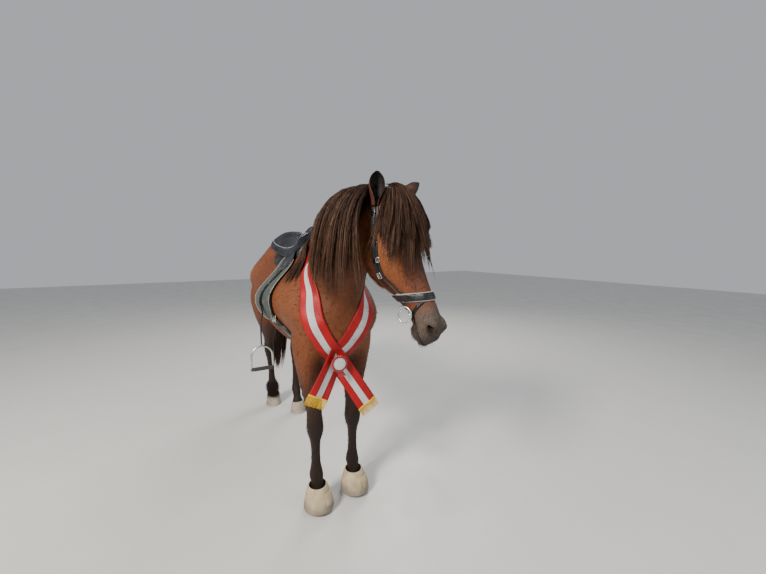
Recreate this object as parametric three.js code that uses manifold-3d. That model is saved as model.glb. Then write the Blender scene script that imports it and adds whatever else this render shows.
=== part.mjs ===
// An Icelandic horse, standing still, with its saddle, bridle, winner's sash and bell boots.
// Millimetres. +X runs forward, +Y to the horse's left, +Z up, and the floor is at z = 0.
// The neck is modelled straight and then turned to the horse's left by NECK_TURN.

import * as THREE from "three";
import { mergeVertices } from "three/addons/utils/BufferGeometryUtils.js";
import Module from "manifold-3d";

const wasm = await Module();
wasm.setup();

// Driving dimensions

const GAP = 0.3;
const NECK_TURN = THREE.MathUtils.degToRad(23);
const FACE_TURN = THREE.MathUtils.degToRad(20);
const FACE_DROP = THREE.MathUtils.degToRad(64);
const POLL = { x: 900, z: 1515 };
const SIDES = [
  { name: "right", sign: -1 },
  { name: "left", sign: 1 },
];

// Body stations: heights of the top and bottom line, and half widths high, midway and low.

const TORSO = [
  { at: -838, top: 1150, bottom: 1030, high: 40, mid: 55, low: 40 },
  { at: -815, top: 1205, bottom: 965, high: 85, mid: 118, low: 90 },
  { at: -760, top: 1275, bottom: 900, high: 125, mid: 180, low: 130 },
  { at: -670, top: 1332, bottom: 852, high: 160, mid: 225, low: 150 },
  { at: -560, top: 1364, bottom: 815, high: 185, mid: 245, low: 160 },
  { at: -450, top: 1374, bottom: 785, high: 195, mid: 252, low: 170 },
  { at: -330, top: 1352, bottom: 762, high: 190, mid: 262, low: 195 },
  { at: -200, top: 1315, bottom: 742, high: 185, mid: 277, low: 222 },
  { at: -70, top: 1294, bottom: 728, high: 180, mid: 287, low: 232 },
  { at: 60, top: 1296, bottom: 724, high: 172, mid: 283, low: 222 },
  { at: 180, top: 1340, bottom: 728, high: 132, mid: 268, low: 200 },
  { at: 280, top: 1376, bottom: 732, high: 98, mid: 250, low: 180 },
  { at: 370, top: 1366, bottom: 736, high: 94, mid: 238, low: 168 },
  { at: 450, top: 1318, bottom: 740, high: 102, mid: 230, low: 160 },
  { at: 530, top: 1245, bottom: 750, high: 112, mid: 215, low: 152 },
  { at: 595, top: 1170, bottom: 774, high: 112, mid: 186, low: 136 },
  { at: 640, top: 1105, bottom: 822, high: 92, mid: 140, low: 108 },
  { at: 662, top: 1050, bottom: 890, high: 50, mid: 74, low: 54 },
];

// Neck stations run from inside the chest, at 0, to inside the head, at 1.
const NECK = [
  { at: 0.0, topX: 290, topZ: 1335, bottomX: 560, bottomZ: 870, high: 66, mid: 162, low: 128 },
  { at: 0.15, topX: 380, topZ: 1390, bottomX: 618, bottomZ: 950, high: 58, mid: 148, low: 124 },
  { at: 0.3, topX: 470, topZ: 1440, bottomX: 660, bottomZ: 1024, high: 49, mid: 126, low: 110 },
  { at: 0.45, topX: 565, topZ: 1487, bottomX: 694, bottomZ: 1096, high: 44, mid: 108, low: 94 },
  { at: 0.6, topX: 660, topZ: 1526, bottomX: 722, bottomZ: 1166, high: 42, mid: 94, low: 80 },
  { at: 0.75, topX: 750, topZ: 1552, bottomX: 750, bottomZ: 1236, high: 43, mid: 85, low: 70 },
  { at: 0.9, topX: 832, topZ: 1556, bottomX: 780, bottomZ: 1300, high: 46, mid: 78, low: 60 },
  { at: 1.0, topX: 884, topZ: 1536, bottomX: 812, bottomZ: 1342, high: 48, mid: 68, low: 50 },
];

// Head stations: distance from the poll along the face, and depth from the line of the face.
const HEAD = [
  { at: -22, top: -42, bottom: -118, high: 30, mid: 42, low: 30 },
  { at: 0, top: -4, bottom: -154, high: 56, mid: 64, low: 44 },
  { at: 45, top: 14, bottom: -196, high: 74, mid: 75, low: 54 },
  { at: 105, top: 24, bottom: -232, high: 90, mid: 84, low: 62 },
  { at: 165, top: 24, bottom: -256, high: 99, mid: 91, low: 66 },
  { at: 225, top: 16, bottom: -258, high: 91, mid: 90, low: 64 },
  { at: 285, top: 7, bottom: -228, high: 70, mid: 78, low: 55 },
  { at: 345, top: 3, bottom: -182, high: 52, mid: 63, low: 46 },
  { at: 405, top: 0, bottom: -147, high: 43, mid: 53, low: 39 },
  { at: 460, top: -1, bottom: -124, high: 41, mid: 49, low: 37 },
  { at: 505, top: -3, bottom: -127, high: 46, mid: 52, low: 39 },
  { at: 545, top: -12, bottom: -136, high: 48, mid: 52, low: 40 },
  { at: 574, top: -30, bottom: -132, high: 42, mid: 46, low: 34 },
  { at: 590, top: -54, bottom: -114, high: 24, mid: 28, low: 20 },
];

// Leg stations: height, front and back edge, half width, and how far the leg stands out.
const FORE_LEG = [
  { at: 58, front: 66, back: -34, half: 46, out: 106 },
  { at: 84, front: 57, back: -29, half: 43, out: 106 },
  { at: 108, front: 45, back: -25, half: 33, out: 106 },
  { at: 132, front: 38, back: -34, half: 33, out: 106 },
  { at: 158, front: 36, back: -49, half: 38, out: 106 },
  { at: 188, front: 31, back: -42, half: 33, out: 106 },
  { at: 230, front: 27, back: -36, half: 26, out: 107 },
  { at: 300, front: 27, back: -35, half: 25, out: 107 },
  { at: 348, front: 31, back: -38, half: 29, out: 108 },
  { at: 378, front: 40, back: -43, half: 38, out: 108 },
  { at: 412, front: 46, back: -47, half: 44, out: 108 },
  { at: 448, front: 44, back: -49, half: 43, out: 109 },
  { at: 484, front: 41, back: -47, half: 40, out: 110 },
  { at: 545, front: 47, back: -56, half: 45, out: 113 },
  { at: 615, front: 59, back: -74, half: 53, out: 118 },
  { at: 695, front: 77, back: -100, half: 62, out: 124 },
  { at: 775, front: 96, back: -126, half: 70, out: 131 },
  { at: 860, front: 112, back: -138, half: 72, out: 138 },
  { at: 940, front: 95, back: -120, half: 52, out: 140 },
];

const HIND_LEG = [
  { at: 58, front: -652, back: -742, half: 45, out: 75 },
  { at: 84, front: -658, back: -738, half: 42, out: 75 },
  { at: 108, front: -670, back: -738, half: 33, out: 75 },
  { at: 134, front: -680, back: -750, half: 33, out: 76 },
  { at: 162, front: -688, back: -772, half: 38, out: 76 },
  { at: 194, front: -700, back: -770, half: 33, out: 77 },
  { at: 245, front: -706, back: -767, half: 27, out: 79 },
  { at: 335, front: -706, back: -768, half: 27, out: 83 },
  { at: 402, front: -700, back: -777, half: 32, out: 87 },
  { at: 445, front: -690, back: -795, half: 38, out: 90 },
  { at: 495, front: -676, back: -814, half: 41, out: 93 },
  { at: 532, front: -660, back: -819, half: 38, out: 95 },
  { at: 568, front: -642, back: -798, half: 37, out: 98 },
  { at: 625, front: -600, back: -770, half: 48, out: 104 },
  { at: 700, front: -532, back: -768, half: 66, out: 114 },
  { at: 780, front: -455, back: -792, half: 86, out: 126 },
  { at: 855, front: -412, back: -815, half: 100, out: 134 },
  { at: 935, front: -398, back: -826, half: 108, out: 138 },
  { at: 1010, front: -425, back: -806, half: 98, out: 138 },
  { at: 1085, front: -490, back: -750, half: 62, out: 138 },
];

const HOOF = [
  { at: 0, front: 92, back: -40, half: 61 },
  { at: 12, front: 88, back: -40, half: 60 },
  { at: 50, front: 74, back: -36, half: 54 },
  { at: 84, front: 60, back: -31, half: 46 },
];

// Each leg's stand: where its hoof is ahead of or behind its place under the body.
const LEGS = [
  { name: "fore_right", rows: FORE_LEG, sign: -1, axis: 490, swing: 0 },
  { name: "fore_left", rows: FORE_LEG, sign: 1, axis: 460, swing: 0 },
  { name: "hind_right", rows: HIND_LEG, sign: -1, axis: 0, swing: -105 },
  { name: "hind_left", rows: HIND_LEG, sign: 1, axis: 0, swing: 125 },
];
const HIP_HEIGHT = 1085;
const HIND_HOOF_AXIS = -716;

// Muscles: centre, reach each way, and how far they stand out.
const MUSCLES = [
  { name: "shoulder blade", at: [430, 200, 1110], reach: [105, 90, 150], rise: 12 },
  { name: "point of shoulder", at: [575, 150, 1000], reach: [60, 70, 75], rise: 16 },
  { name: "breast", at: [640, 62, 930], reach: [60, 48, 80], rise: 18 },
  { name: "triceps", at: [360, 205, 905], reach: [90, 80, 85], rise: 14 },
  { name: "haunch", at: [-620, 230, 1120], reach: [140, 100, 140], rise: 14 },
  { name: "hip bone", at: [-400, 200, 1275], reach: [50, 60, 42], rise: 12 },
  { name: "flank hollow", at: [-335, 250, 1080], reach: [60, 90, 85], rise: -14 },
  { name: "buttock", at: [-800, 95, 1040], reach: [60, 60, 110], rise: 10 },
];

// Reading the tables

function readAt(rows, key, at) {
  let i = 0;
  while (i < rows.length - 2 && at > rows[i + 1].at) i += 1;
  const slope = (j) => {
    const a = rows[Math.max(j - 1, 0)];
    const b = rows[Math.min(j + 1, rows.length - 1)];
    return (b[key] - a[key]) / (b.at - a.at);
  };
  const span = rows[i + 1].at - rows[i].at;
  const t = (at - rows[i].at) / span;
  const a = rows[i][key];
  const b = rows[i + 1][key];
  const curve = a * (1 + 2 * t) * (1 - t) ** 2 + b * t * t * (3 - 2 * t);
  const lean = span * (slope(i) * t * (1 - t) ** 2 - slope(i + 1) * t * t * (1 - t));
  return curve + lean;
}

const smooth = (t) => {
  const c = Math.min(Math.max(t, 0), 1);
  return c * c * (3 - 2 * c);
};
const mix = (a, b, t) => a + (b - a) * t;
const V = (x, y, z) => new THREE.Vector3(x, y, z);

// A repeatable draw between 0 and 1.
function drawsFrom(seed) {
  let state = seed;
  return () => {
    state = (state * 1664525 + 1013904223) % 4294967296;
    return state / 4294967296;
  };
}

// The turn of the neck: at each station its yaw, and the path of its middle.

const TURN_STEPS = 60;
const NECK_PATH = [];
for (let i = 0, x = 0, y = 0; i <= TURN_STEPS; i++) {
  const at = i / TURN_STEPS;
  const middle = (readAt(NECK, "topX", at) + readAt(NECK, "bottomX", at)) / 2;
  const yaw = NECK_TURN * smooth(at / 0.85);
  if (i === 0) x = middle;
  else {
    const run = middle - NECK_PATH[i - 1].middle;
    x += run * Math.cos(yaw);
    y += run * Math.sin(yaw);
  }
  NECK_PATH.push({ at, middle, yaw, x, y });
}

function turnAt(at) {
  return {
    yaw: readAt(NECK_PATH, "yaw", at),
    middle: readAt(NECK_PATH, "middle", at),
    x: readAt(NECK_PATH, "x", at),
    y: readAt(NECK_PATH, "y", at),
  };
}

function turned(turn, x, y, z) {
  const c = Math.cos(turn.yaw);
  const s = Math.sin(turn.yaw);
  const dx = x - turn.middle;
  return V(turn.x + dx * c - y * s, turn.y + dx * s + y * c, z);
}

const HEAD_PLACE = turnAt(1);
const POLL_PLACE = turned(HEAD_PLACE, POLL.x, 0, POLL.z);
const FACE_FRONT = V(Math.cos(FACE_TURN), Math.sin(FACE_TURN), 0);
const FACE_LEFT = V(-Math.sin(FACE_TURN), Math.cos(FACE_TURN), 0);

// A point of the head: distance along the face, depth from it, and how far to the left.
function headPoint(along, depth, left) {
  const front = along * Math.cos(FACE_DROP) + depth * Math.sin(FACE_DROP);
  const rise = depth * Math.cos(FACE_DROP) - along * Math.sin(FACE_DROP);
  const place = POLL_PLACE.clone().addScaledVector(FACE_FRONT, front);
  return place.addScaledVector(FACE_LEFT, left).add(V(0, 0, rise));
}

// Rings and lofts

function widthAt(row, t) {
  if (t < 0.5) return mix(row.high, row.mid, smooth((t - 0.1) / 0.4));
  return mix(row.mid, row.low, smooth((t - 0.5) / 0.38));
}

// A ring across a body part. place(up, side) puts a point; up runs from 1 at the top to 0.
function bodyRing(row, count, grow, place) {
  return Array.from({ length: count }, (_, j) => {
    const angle = (2 * Math.PI * j) / count;
    const down = (1 - Math.cos(angle)) / 2;
    const sine = Math.sin(angle);
    const half = Math.sign(sine) * Math.abs(sine) ** 0.86 * (widthAt(row, down) + grow);
    return place(1 - down, half);
  });
}

function rowAt(rows, at) {
  const row = { at };
  for (const key of Object.keys(rows[0])) if (key !== "at") row[key] = readAt(rows, key, at);
  return row;
}

function torsoRing(at, count, grow = 0) {
  const row = rowAt(TORSO, at);
  const low = row.bottom - grow;
  const high = row.top + grow;
  const ring = bodyRing(row, count, grow, (up, side) => V(at, side, mix(low, high, up)));
  const middle = V(at, 0, (low + high) / 2);
  return ring.map((p) => p.add(swell(p, middle)));
}

function neckRing(at, count, grow = 0) {
  const row = rowAt(NECK, at);
  const turn = turnAt(at);
  const run = Math.hypot(row.topX - row.bottomX, row.topZ - row.bottomZ);
  const share = grow / run;
  return bodyRing(row, count, grow, (up, side) => {
    const k = mix(-share, 1 + share, up);
    return turned(turn, mix(row.bottomX, row.topX, k), side, mix(row.bottomZ, row.topZ, k));
  });
}

function headRing(at, count, grow = 0) {
  const row = rowAt(HEAD, at);
  return bodyRing(row, count, grow, (up, side) =>
    headPoint(at, mix(row.bottom - grow, row.top + grow, up), side),
  );
}

function swell(point, middle) {
  let rise = 0;
  for (const muscle of MUSCLES) {
    const dx = (point.x - muscle.at[0]) / muscle.reach[0];
    const dy = (Math.abs(point.y) - muscle.at[1]) / muscle.reach[1];
    const dz = (point.z - muscle.at[2]) / muscle.reach[2];
    rise += muscle.rise * Math.exp(-(dx * dx + dy * dy + dz * dz));
  }
  return point.clone().sub(middle).normalize().multiplyScalar(rise);
}

function legRing(leg, at, count, grow = 0) {
  const row = rowAt(leg.rows, at);
  const swing = (leg.swing * (HIP_HEIGHT - at)) / HIP_HEIGHT;
  const middle = leg.axis + swing + (row.front + row.back) / 2;
  const reach = (row.front - row.back) / 2 + grow;
  return Array.from({ length: count }, (_, j) => {
    const angle = (2 * Math.PI * j) / count;
    const c = Math.cos(angle);
    const s = Math.sin(angle);
    const x = middle + Math.sign(c) * Math.abs(c) ** 0.92 * reach;
    const y = leg.sign * (row.out + Math.sign(s) * Math.abs(s) ** 0.92 * (row.half + grow));
    return V(x, y, at);
  });
}

function loft(rings) {
  const count = rings[0].length;
  const points = rings.flat();
  const middle = (ring) =>
    ring.reduce((sum, p) => sum.add(p), V(0, 0, 0)).divideScalar(ring.length);
  points.push(middle(rings[0]), middle(rings.at(-1)));
  const faces = [];
  for (let i = 0; i < rings.length - 1; i++) {
    for (let j = 0; j < count; j++) {
      const a = i * count + j;
      const b = i * count + ((j + 1) % count);
      faces.push(a, b, a + count, b, b + count, a + count);
    }
  }
  const start = points.length - 2;
  const lastRing = (rings.length - 1) * count;
  for (let j = 0; j < count; j++) {
    const next = (j + 1) % count;
    faces.push(start, next, j, start + 1, lastRing + j, lastRing + next);
  }
  return geometryOf(points, faces);
}

function geometryOf(points, faces) {
  const geometry = new THREE.BufferGeometry().setFromPoints(points);
  geometry.setIndex(faces);
  return geometry;
}

// Solids

function solid(geometry) {
  const bare = geometry.index ? geometry.toNonIndexed() : geometry.clone();
  bare.deleteAttribute("normal");
  bare.deleteAttribute("uv");
  const merged = mergeVertices(bare, 1e-3);
  const vertProperties = Float32Array.from(merged.attributes.position.array);
  const triVerts = Uint32Array.from(merged.index.array);
  const make = () => new wasm.Manifold(new wasm.Mesh({ numProp: 3, vertProperties, triVerts }));
  const made = make();
  if (made.volume() >= 0) return made;
  for (let i = 0; i < triVerts.length; i += 3) {
    [triVerts[i + 1], triVerts[i + 2]] = [triVerts[i + 2], triVerts[i + 1]];
  }
  return make();
}

const joined = (solids) => solids.reduce((sum, s) => sum.add(s));

function largest(made) {
  return made.decompose().reduce((best, s) => (s.volume() > best.volume() ? s : best));
}

const BALL = { around: 8, down: 6 };

function ball(centre, radii, basis = null) {
  const sphere = new THREE.SphereGeometry(1, BALL.around, BALL.down).scale(...radii);
  if (basis) sphere.applyMatrix4(basis);
  return solid(sphere.translate(centre.x, centre.y, centre.z));
}

// Keeps what lies ahead of a plane through a point.
function ahead(made, normal, point) {
  const n = normal.clone().normalize();
  return made.trimByPlane([n.x, n.y, n.z], n.dot(point) + GAP / 2);
}

const behind = (made, normal, point) => ahead(made, normal.clone().negate(), point);

// Meshes of the model

const horse = new THREE.Group();
const figure = new THREE.Group();
horse.add(figure);

const FINISHES = {
  coat: { color: 0x6b3a1e, roughness: 0.7, metalness: 0 },
  points: { color: 0x241712, roughness: 0.75, metalness: 0 },
  mane: { color: 0x3a2822, roughness: 0.75, metalness: 0 },
  hoof: { color: 0xa7977f, roughness: 0.8, metalness: 0 },
  eye: { color: 0x120b08, roughness: 0.1, metalness: 0 },
  leather: { color: 0x17181b, roughness: 0.45, metalness: 0 },
  flap: { color: 0x2b302e, roughness: 0.6, metalness: 0 },
  steel: { color: 0xb9bbbd, roughness: 0.25, metalness: 1 },
  ribbon: { color: 0xc8141c, roughness: 0.5, metalness: 0 },
  fringe: { color: 0xe9c71c, roughness: 0.6, metalness: 0 },
  badge: { color: 0xd9d6cf, roughness: 0.4, metalness: 0 },
  boot: { color: 0xd8c9a6, roughness: 0.7, metalness: 0 },
};
const materials = Object.fromEntries(
  Object.entries(FINISHES).map(([name, look]) => [name, new THREE.MeshStandardMaterial(look)]),
);

function addNode(name, finish, made) {
  const kept = largest(made).getMesh();
  const geometry = new THREE.BufferGeometry();
  geometry.setAttribute("position", new THREE.BufferAttribute(kept.vertProperties, 3));
  geometry.setIndex(new THREE.BufferAttribute(kept.triVerts, 1));
  const mesh = new THREE.Mesh(geometry, materials[finish]);
  mesh.name = name;
  figure.add(mesh);
}

// The body whole. Grown copies of it carry what the horse wears.

const TORSO_AT = [
  -838, -812, -760, -690, -600, -500, -390, -260, -110, 20, 130, 215, 285, 355, 425, 490, 550,
  600, 640, 662,
];
const NECK_AT = [0, 0.16, 0.32, 0.46, 0.6, 0.72, 0.84, 0.93, 1];
const HEAD_AT = [-22, 0, 40, 85, 130, 172, 215, 260, 310, 370, 430, 485, 530, 562, 581, 590];
const FORE_AT = [58, 84, 108, 132, 158, 192, 240, 320, 376, 414, 456, 505, 590, 690, 780, 860, 940];
const HIND_AT = [
  58, 84, 108, 134, 162, 198, 260, 360, 430, 490, 530, 570, 630, 705, 785, 860, 940, 1020, 1085,
];
const TORSO_SIDES = 20;
const NECK_SIDES = 16;
const HEAD_SIDES = 18;
const LEG_SIDES = 10;

const torsoSolid = (grow) => solid(loft(TORSO_AT.map((at) => torsoRing(at, TORSO_SIDES, grow))));
const neckSolid = (grow) => solid(loft(NECK_AT.map((at) => neckRing(at, NECK_SIDES, grow))));
const headSolid = (grow) => solid(loft(HEAD_AT.map((at) => headRing(at, HEAD_SIDES, grow))));
const legAt = (leg) => (leg.rows === FORE_LEG ? FORE_AT : HIND_AT);
const legSolid = (leg, grow) =>
  solid(loft(legAt(leg).map((at) => legRing(leg, at, LEG_SIDES, grow))));

// The face: lids round each eye, nostrils, lips and the line of the mouth.

const EYE = { along: 208, depth: -28, out: 68, radius: 20 };
const NOSTRIL = { along: 542, depth: -36, out: 47, radii: [14, 9, 19] };
const MOUTH = { front: 602, corner: 474, depth: -93, lift: 5, half: 1.4, inward: 15 };
const SWELLINGS = [
  { along: 4, depth: 11, out: -4, radii: [27, 22, 14], about: "eye" },
  { along: 2, depth: -13, out: -3, radii: [24, 19, 10], about: "eye" },
  { along: -14, depth: 3, out: -16, radii: [34, 20, 27], about: "nostril" },
];
const CHIN = { along: 532, depth: -125, radii: [34, 30, 20] };
const NOSTRIL_TILT = -0.5;

function headBasis(tilt = 0, yaw = 0) {
  const origin = headPoint(0, 0, 0);
  const along = headPoint(1, 0, 0).sub(origin);
  const up = headPoint(0, 1, 0).sub(origin);
  const left = headPoint(0, 0, 1).sub(origin);
  const turn = new THREE.Matrix4().makeRotationFromEuler(new THREE.Euler(0, tilt, yaw));
  return new THREE.Matrix4().makeBasis(along, left.negate(), up).multiply(turn);
}

function mouthCut() {
  const outline = new THREE.Shape();
  const bend = 535;
  const drop = 2;
  outline.moveTo(MOUTH.corner, MOUTH.depth + MOUTH.lift);
  outline.lineTo(bend, MOUTH.depth - MOUTH.half);
  outline.lineTo(MOUTH.front, MOUTH.depth - MOUTH.half - drop);
  outline.lineTo(MOUTH.front, MOUTH.depth + MOUTH.half - drop);
  outline.lineTo(bend, MOUTH.depth + MOUTH.half);
  const slit = headPrism(outline, 70);
  const core = [440, 480, 515, 545, 565, 580].map((at) => {
    const row = rowAt(HEAD, at);
    for (const key of ["high", "mid", "low"]) row[key] -= MOUTH.inward;
    const place = (up, side) => headPoint(at, mix(row.bottom, row.top, up), side);
    return bodyRing(row, 12, 0, place);
  });
  return slit.subtract(solid(loft(core)));
}

// A prism across the head, from an outline drawn in distance along the face and depth.
function headPrism(outline, half) {
  const sheet = new THREE.ExtrudeGeometry(outline, { depth: 2 * half, bevelEnabled: false });
  sheet.translate(0, 0, -half).rotateX(Math.PI / 2).applyMatrix4(headBasis());
  return solid(sheet.translate(...headPoint(0, 0, 0).toArray()));
}

const eyeCentre = (sign) => headPoint(EYE.along, EYE.depth, sign * EYE.out);
const eyeBall = (sign, radius) => ball(eyeCentre(sign), [radius, radius, radius], headBasis());

function face(grow) {
  let made = headSolid(grow);
  for (const { sign } of SIDES) {
    for (const { along, depth, out, radii, about } of SWELLINGS) {
      const from = about === "eye" ? EYE : NOSTRIL;
      const tilt = about === "eye" ? 0 : NOSTRIL_TILT;
      const centre = headPoint(from.along + along, from.depth + depth, sign * (from.out + out));
      made = made.add(ball(centre, radii.map((r) => r + grow), headBasis(tilt)));
    }
  }
  const chin = headPoint(CHIN.along, CHIN.depth, 0);
  return made.add(ball(chin, CHIN.radii.map((r) => r + grow), headBasis()));
}

function shell(grow) {
  const parts = [torsoSolid(grow), neckSolid(grow), face(grow)];
  return joined(parts.concat(LEGS.map((leg) => legSolid(leg, grow))));
}

const body = shell(0);
const bodyCleared = shell(GAP);

// Finds the surface by looking in from outside along a direction.

const lookAt = new THREE.Mesh(
  meshOf(body),
  new THREE.MeshBasicMaterial({ side: THREE.DoubleSide }),
);
lookAt.updateMatrixWorld();
const LOOK_FROM = 500;

function meshOf(made) {
  const kept = made.getMesh();
  const geometry = new THREE.BufferGeometry();
  geometry.setAttribute("position", new THREE.BufferAttribute(kept.vertProperties, 3));
  geometry.setIndex(new THREE.BufferAttribute(kept.triVerts, 1));
  return geometry;
}

function surfaceAt(point, out) {
  const from = point.clone().addScaledVector(out, LOOK_FROM);
  const ray = new THREE.Raycaster(from, out.clone().negate(), 0, LOOK_FROM + 60);
  const hits = ray.intersectObject(lookAt);
  return hits.length ? hits[0].point : null;
}

// Plates, prisms and slabs

function plate(outer, inner) {
  const rows = outer.length;
  const columns = outer[0].length;
  const points = [...outer.flat(), ...inner.flat()];
  const back = rows * columns;
  const faces = [];
  for (let i = 0; i < rows - 1; i++) {
    for (let j = 0; j < columns - 1; j++) {
      const a = i * columns + j;
      const b = a + 1;
      const c = a + columns;
      const d = c + 1;
      faces.push(a, b, d, a, d, c);
      faces.push(back + a, back + d, back + b, back + a, back + c, back + d);
    }
  }
  const rim = [];
  for (let j = 0; j < columns - 1; j++) rim.push(j);
  for (let i = 0; i < rows - 1; i++) rim.push(i * columns + columns - 1);
  for (let j = columns - 1; j > 0; j--) rim.push((rows - 1) * columns + j);
  for (let i = rows - 1; i > 0; i--) rim.push(i * columns);
  rim.forEach((a, k) => {
    const b = rim[(k + 1) % rim.length];
    faces.push(b, a, back + a, b, back + a, back + b);
  });
  return solid(geometryOf(points, faces));
}

// A prism along Y, from an outline in X and Z.
function sidePrism(outline, low, high) {
  const shape = new THREE.Shape(outline.map(([x, z]) => new THREE.Vector2(x, z)));
  const prism = new THREE.ExtrudeGeometry(shape, { depth: high - low, bevelEnabled: false });
  return solid(prism.rotateX(Math.PI / 2).translate(0, high, 0));
}

function slab(normal, point, half, reach = 1500) {
  const box = new THREE.BoxGeometry(2 * half, reach, reach);
  const turn = new THREE.Quaternion().setFromUnitVectors(V(1, 0, 0), normal.clone().normalize());
  box.applyQuaternion(turn).translate(point.x, point.y, point.z);
  return solid(box);
}

function block(low, high) {
  const size = [0, 1, 2].map((k) => high[k] - low[k]);
  const box = new THREE.BoxGeometry(...size);
  return solid(box.translate(...[0, 1, 2].map((k) => (low[k] + high[k]) / 2)));
}

// Limbs

const LIMB_TOP = {
  fore: { inner: 26, outer: 330, innerZ: 770, outerZ: 950 },
  hind: { inner: 14, outer: 330, innerZ: 850, outerZ: 1020 },
};
const UP = V(0, 0, 1);
const LEG_CUTS = {
  fore: { upper: 458, lower: 186, names: ["forearm", "cannon", "pastern"] },
  hind: { upper: 572, lower: 192, names: ["thigh", "cannon", "pastern"] },
};
const CORONET = { front: 80, ahead: 60, lean: 0.36 };
const coronetTilt = V(-CORONET.lean, 0, 1);
const legKind = (leg) => (leg.rows === FORE_LEG ? "fore" : "hind");
const hoofAxis = (leg) => (legKind(leg) === "fore" ? leg.axis : HIND_HOOF_AXIS + leg.swing);

function limbCut(leg) {
  const top = LIMB_TOP[legKind(leg)];
  const run = top.outer - top.inner;
  return {
    normal: V(0, leg.sign * (top.innerZ - top.outerZ), run),
    point: V(0, leg.sign * top.inner, top.innerZ),
  };
}

function hoofSolid(leg, grow) {
  const rings = HOOF.map((row) =>
    Array.from({ length: 14 }, (_, j) => {
      const angle = (2 * Math.PI * j) / 14;
      const reach = (row.front - row.back) / 2 + grow;
      const x = hoofAxis(leg) + (row.front + row.back) / 2 + reach * Math.cos(angle);
      const y = leg.rows[0].out * leg.sign + (row.half + grow) * Math.sin(angle);
      return V(x, y, row.at);
    }),
  );
  return solid(loft(rings));
}

let trunk = joined([torsoSolid(0), neckSolid(0), headSolid(0)]);
for (const leg of LEGS) {
  const cut = limbCut(leg);
  const limb = legSolid(leg, 0);
  trunk = trunk.add(ahead(limb, cut.normal, cut.point));
}
for (const leg of LEGS) {
  const cut = limbCut(leg);
  const raised = cut.point.clone().addScaledVector(UP, GAP);
  trunk = trunk.subtract(behind(legSolid(leg, GAP), cut.normal, raised));
}

function addLimb(leg) {
  const cuts = LEG_CUTS[legKind(leg)];
  const top = limbCut(leg);
  const limb = behind(legSolid(leg, 0), top.normal, top.point);
  const upper = V(0, 0, cuts.upper);
  const lower = V(0, 0, cuts.lower);
  const coronet = V(hoofAxis(leg) + CORONET.ahead, 0, CORONET.front);
  const cannon = ahead(behind(limb, UP, upper), UP, lower);
  const pastern = ahead(behind(limb, UP, lower), coronetTilt, coronet);
  addNode(`${leg.name}_${cuts.names[0]}`, "coat", ahead(limb, UP, upper));
  addNode(`${leg.name}_${cuts.names[1]}`, "points", cannon);
  addNode(`${leg.name}_${cuts.names[2]}`, "points", pastern);
  addNode(`${leg.name}_hoof`, "hoof", behind(hoofSolid(leg, 0), coronetTilt, coronet));
}
LEGS.forEach(addLimb);

// Ears: each a cupped leaf that opens forward and out.

const EAR = {
  along: 4,
  depth: { right: -44, left: -30 },
  out: 63,
  length: 112,
  root: 22,
  wall: 5,
  lean: 0.42,
  rows: [
    { at: 0, radius: 21, wrap: 2.75 },
    { at: 0.2, radius: 27, wrap: 2.4 },
    { at: 0.42, radius: 33, wrap: 2.05 },
    { at: 0.64, radius: 32, wrap: 1.8 },
    { at: 0.84, radius: 24, wrap: 1.6 },
    { at: 1, radius: 7, wrap: 1.4 },
  ],
};

// What is cut clear of an ear is cut by one that is this much thicker and wraps further round.
const EAR_CLEAR = { grow: 3 * GAP, wrap: 0.1 };

// How each ear is held, as shares up, out to its side and forward: the left one lies out.
const EAR_LIE = {
  right: { up: [1, 0, 0.1], open: [0, 0.75, 1] },
  left: { up: [0.72, 0.62, 0.7], open: [-0.4, 0.9, 0.2] },
};

// The ear's own frame: its foot, and directions up along it, forward out of the cup and across.
function earFrame(sign) {
  const depth = sign > 0 ? EAR.depth.left : EAR.depth.right;
  const foot = headPoint(EAR.along, depth, sign * EAR.out);
  const side = headPoint(0, 0, sign).sub(headPoint(0, 0, 0));
  const lie = sign > 0 ? EAR_LIE.left : EAR_LIE.right;
  const mixed = ([rise, out, front]) =>
    V(0, 0, rise).addScaledVector(side, out).addScaledVector(FACE_FRONT, front);
  const up = mixed(lie.up).normalize();
  const face = mixed(lie.open);
  face.addScaledVector(up, -face.dot(up)).normalize();
  return { foot, up, face, across: up.clone().cross(face) };
}

function earSolid(sign, { grow, wrap: further } = { grow: 0, wrap: 0 }) {
  const { foot, up, face: open, across } = earFrame(sign);
  const steps = 7;
  const sunkRow = { at: -(EAR.root + grow) / EAR.length, radius: 17, wrap: 2.9 };
  const rings = [sunkRow, ...EAR.rows].map((row) => {
    const centre = foot.clone().addScaledVector(up, row.at * EAR.length);
    centre.addScaledVector(open, -EAR.lean * 20 * row.at * row.at);
    const arc = (radius, backwards) =>
      Array.from({ length: steps }, (_, k) => {
        const share = backwards ? 1 - k / (steps - 1) : k / (steps - 1);
        const angle = mix(-1, 1, share) * (row.wrap + further);
        const p = centre.clone().addScaledVector(open, -radius * Math.cos(angle));
        return p.addScaledVector(across, radius * Math.sin(angle));
      });
    const outer = row.radius + grow;
    const inner = Math.max(row.radius - EAR.wall - grow, row.radius * 0.35);
    return [...arc(outer, false), ...arc(inner, true)];
  });
  return solid(loft(rings));
}
for (const { name, sign } of SIDES) {
  addNode(`ear_${name}`, "mane", earSolid(sign).subtract(bodyCleared));
}

// Worn pieces are cut from a grown body and lie a thin gap off it.

const worn = (grow, region) => shell(grow).intersect(region).subtract(bodyCleared);

// The bridle, in distance along the face and depth from it.

const STRAP = 3.4;

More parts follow.
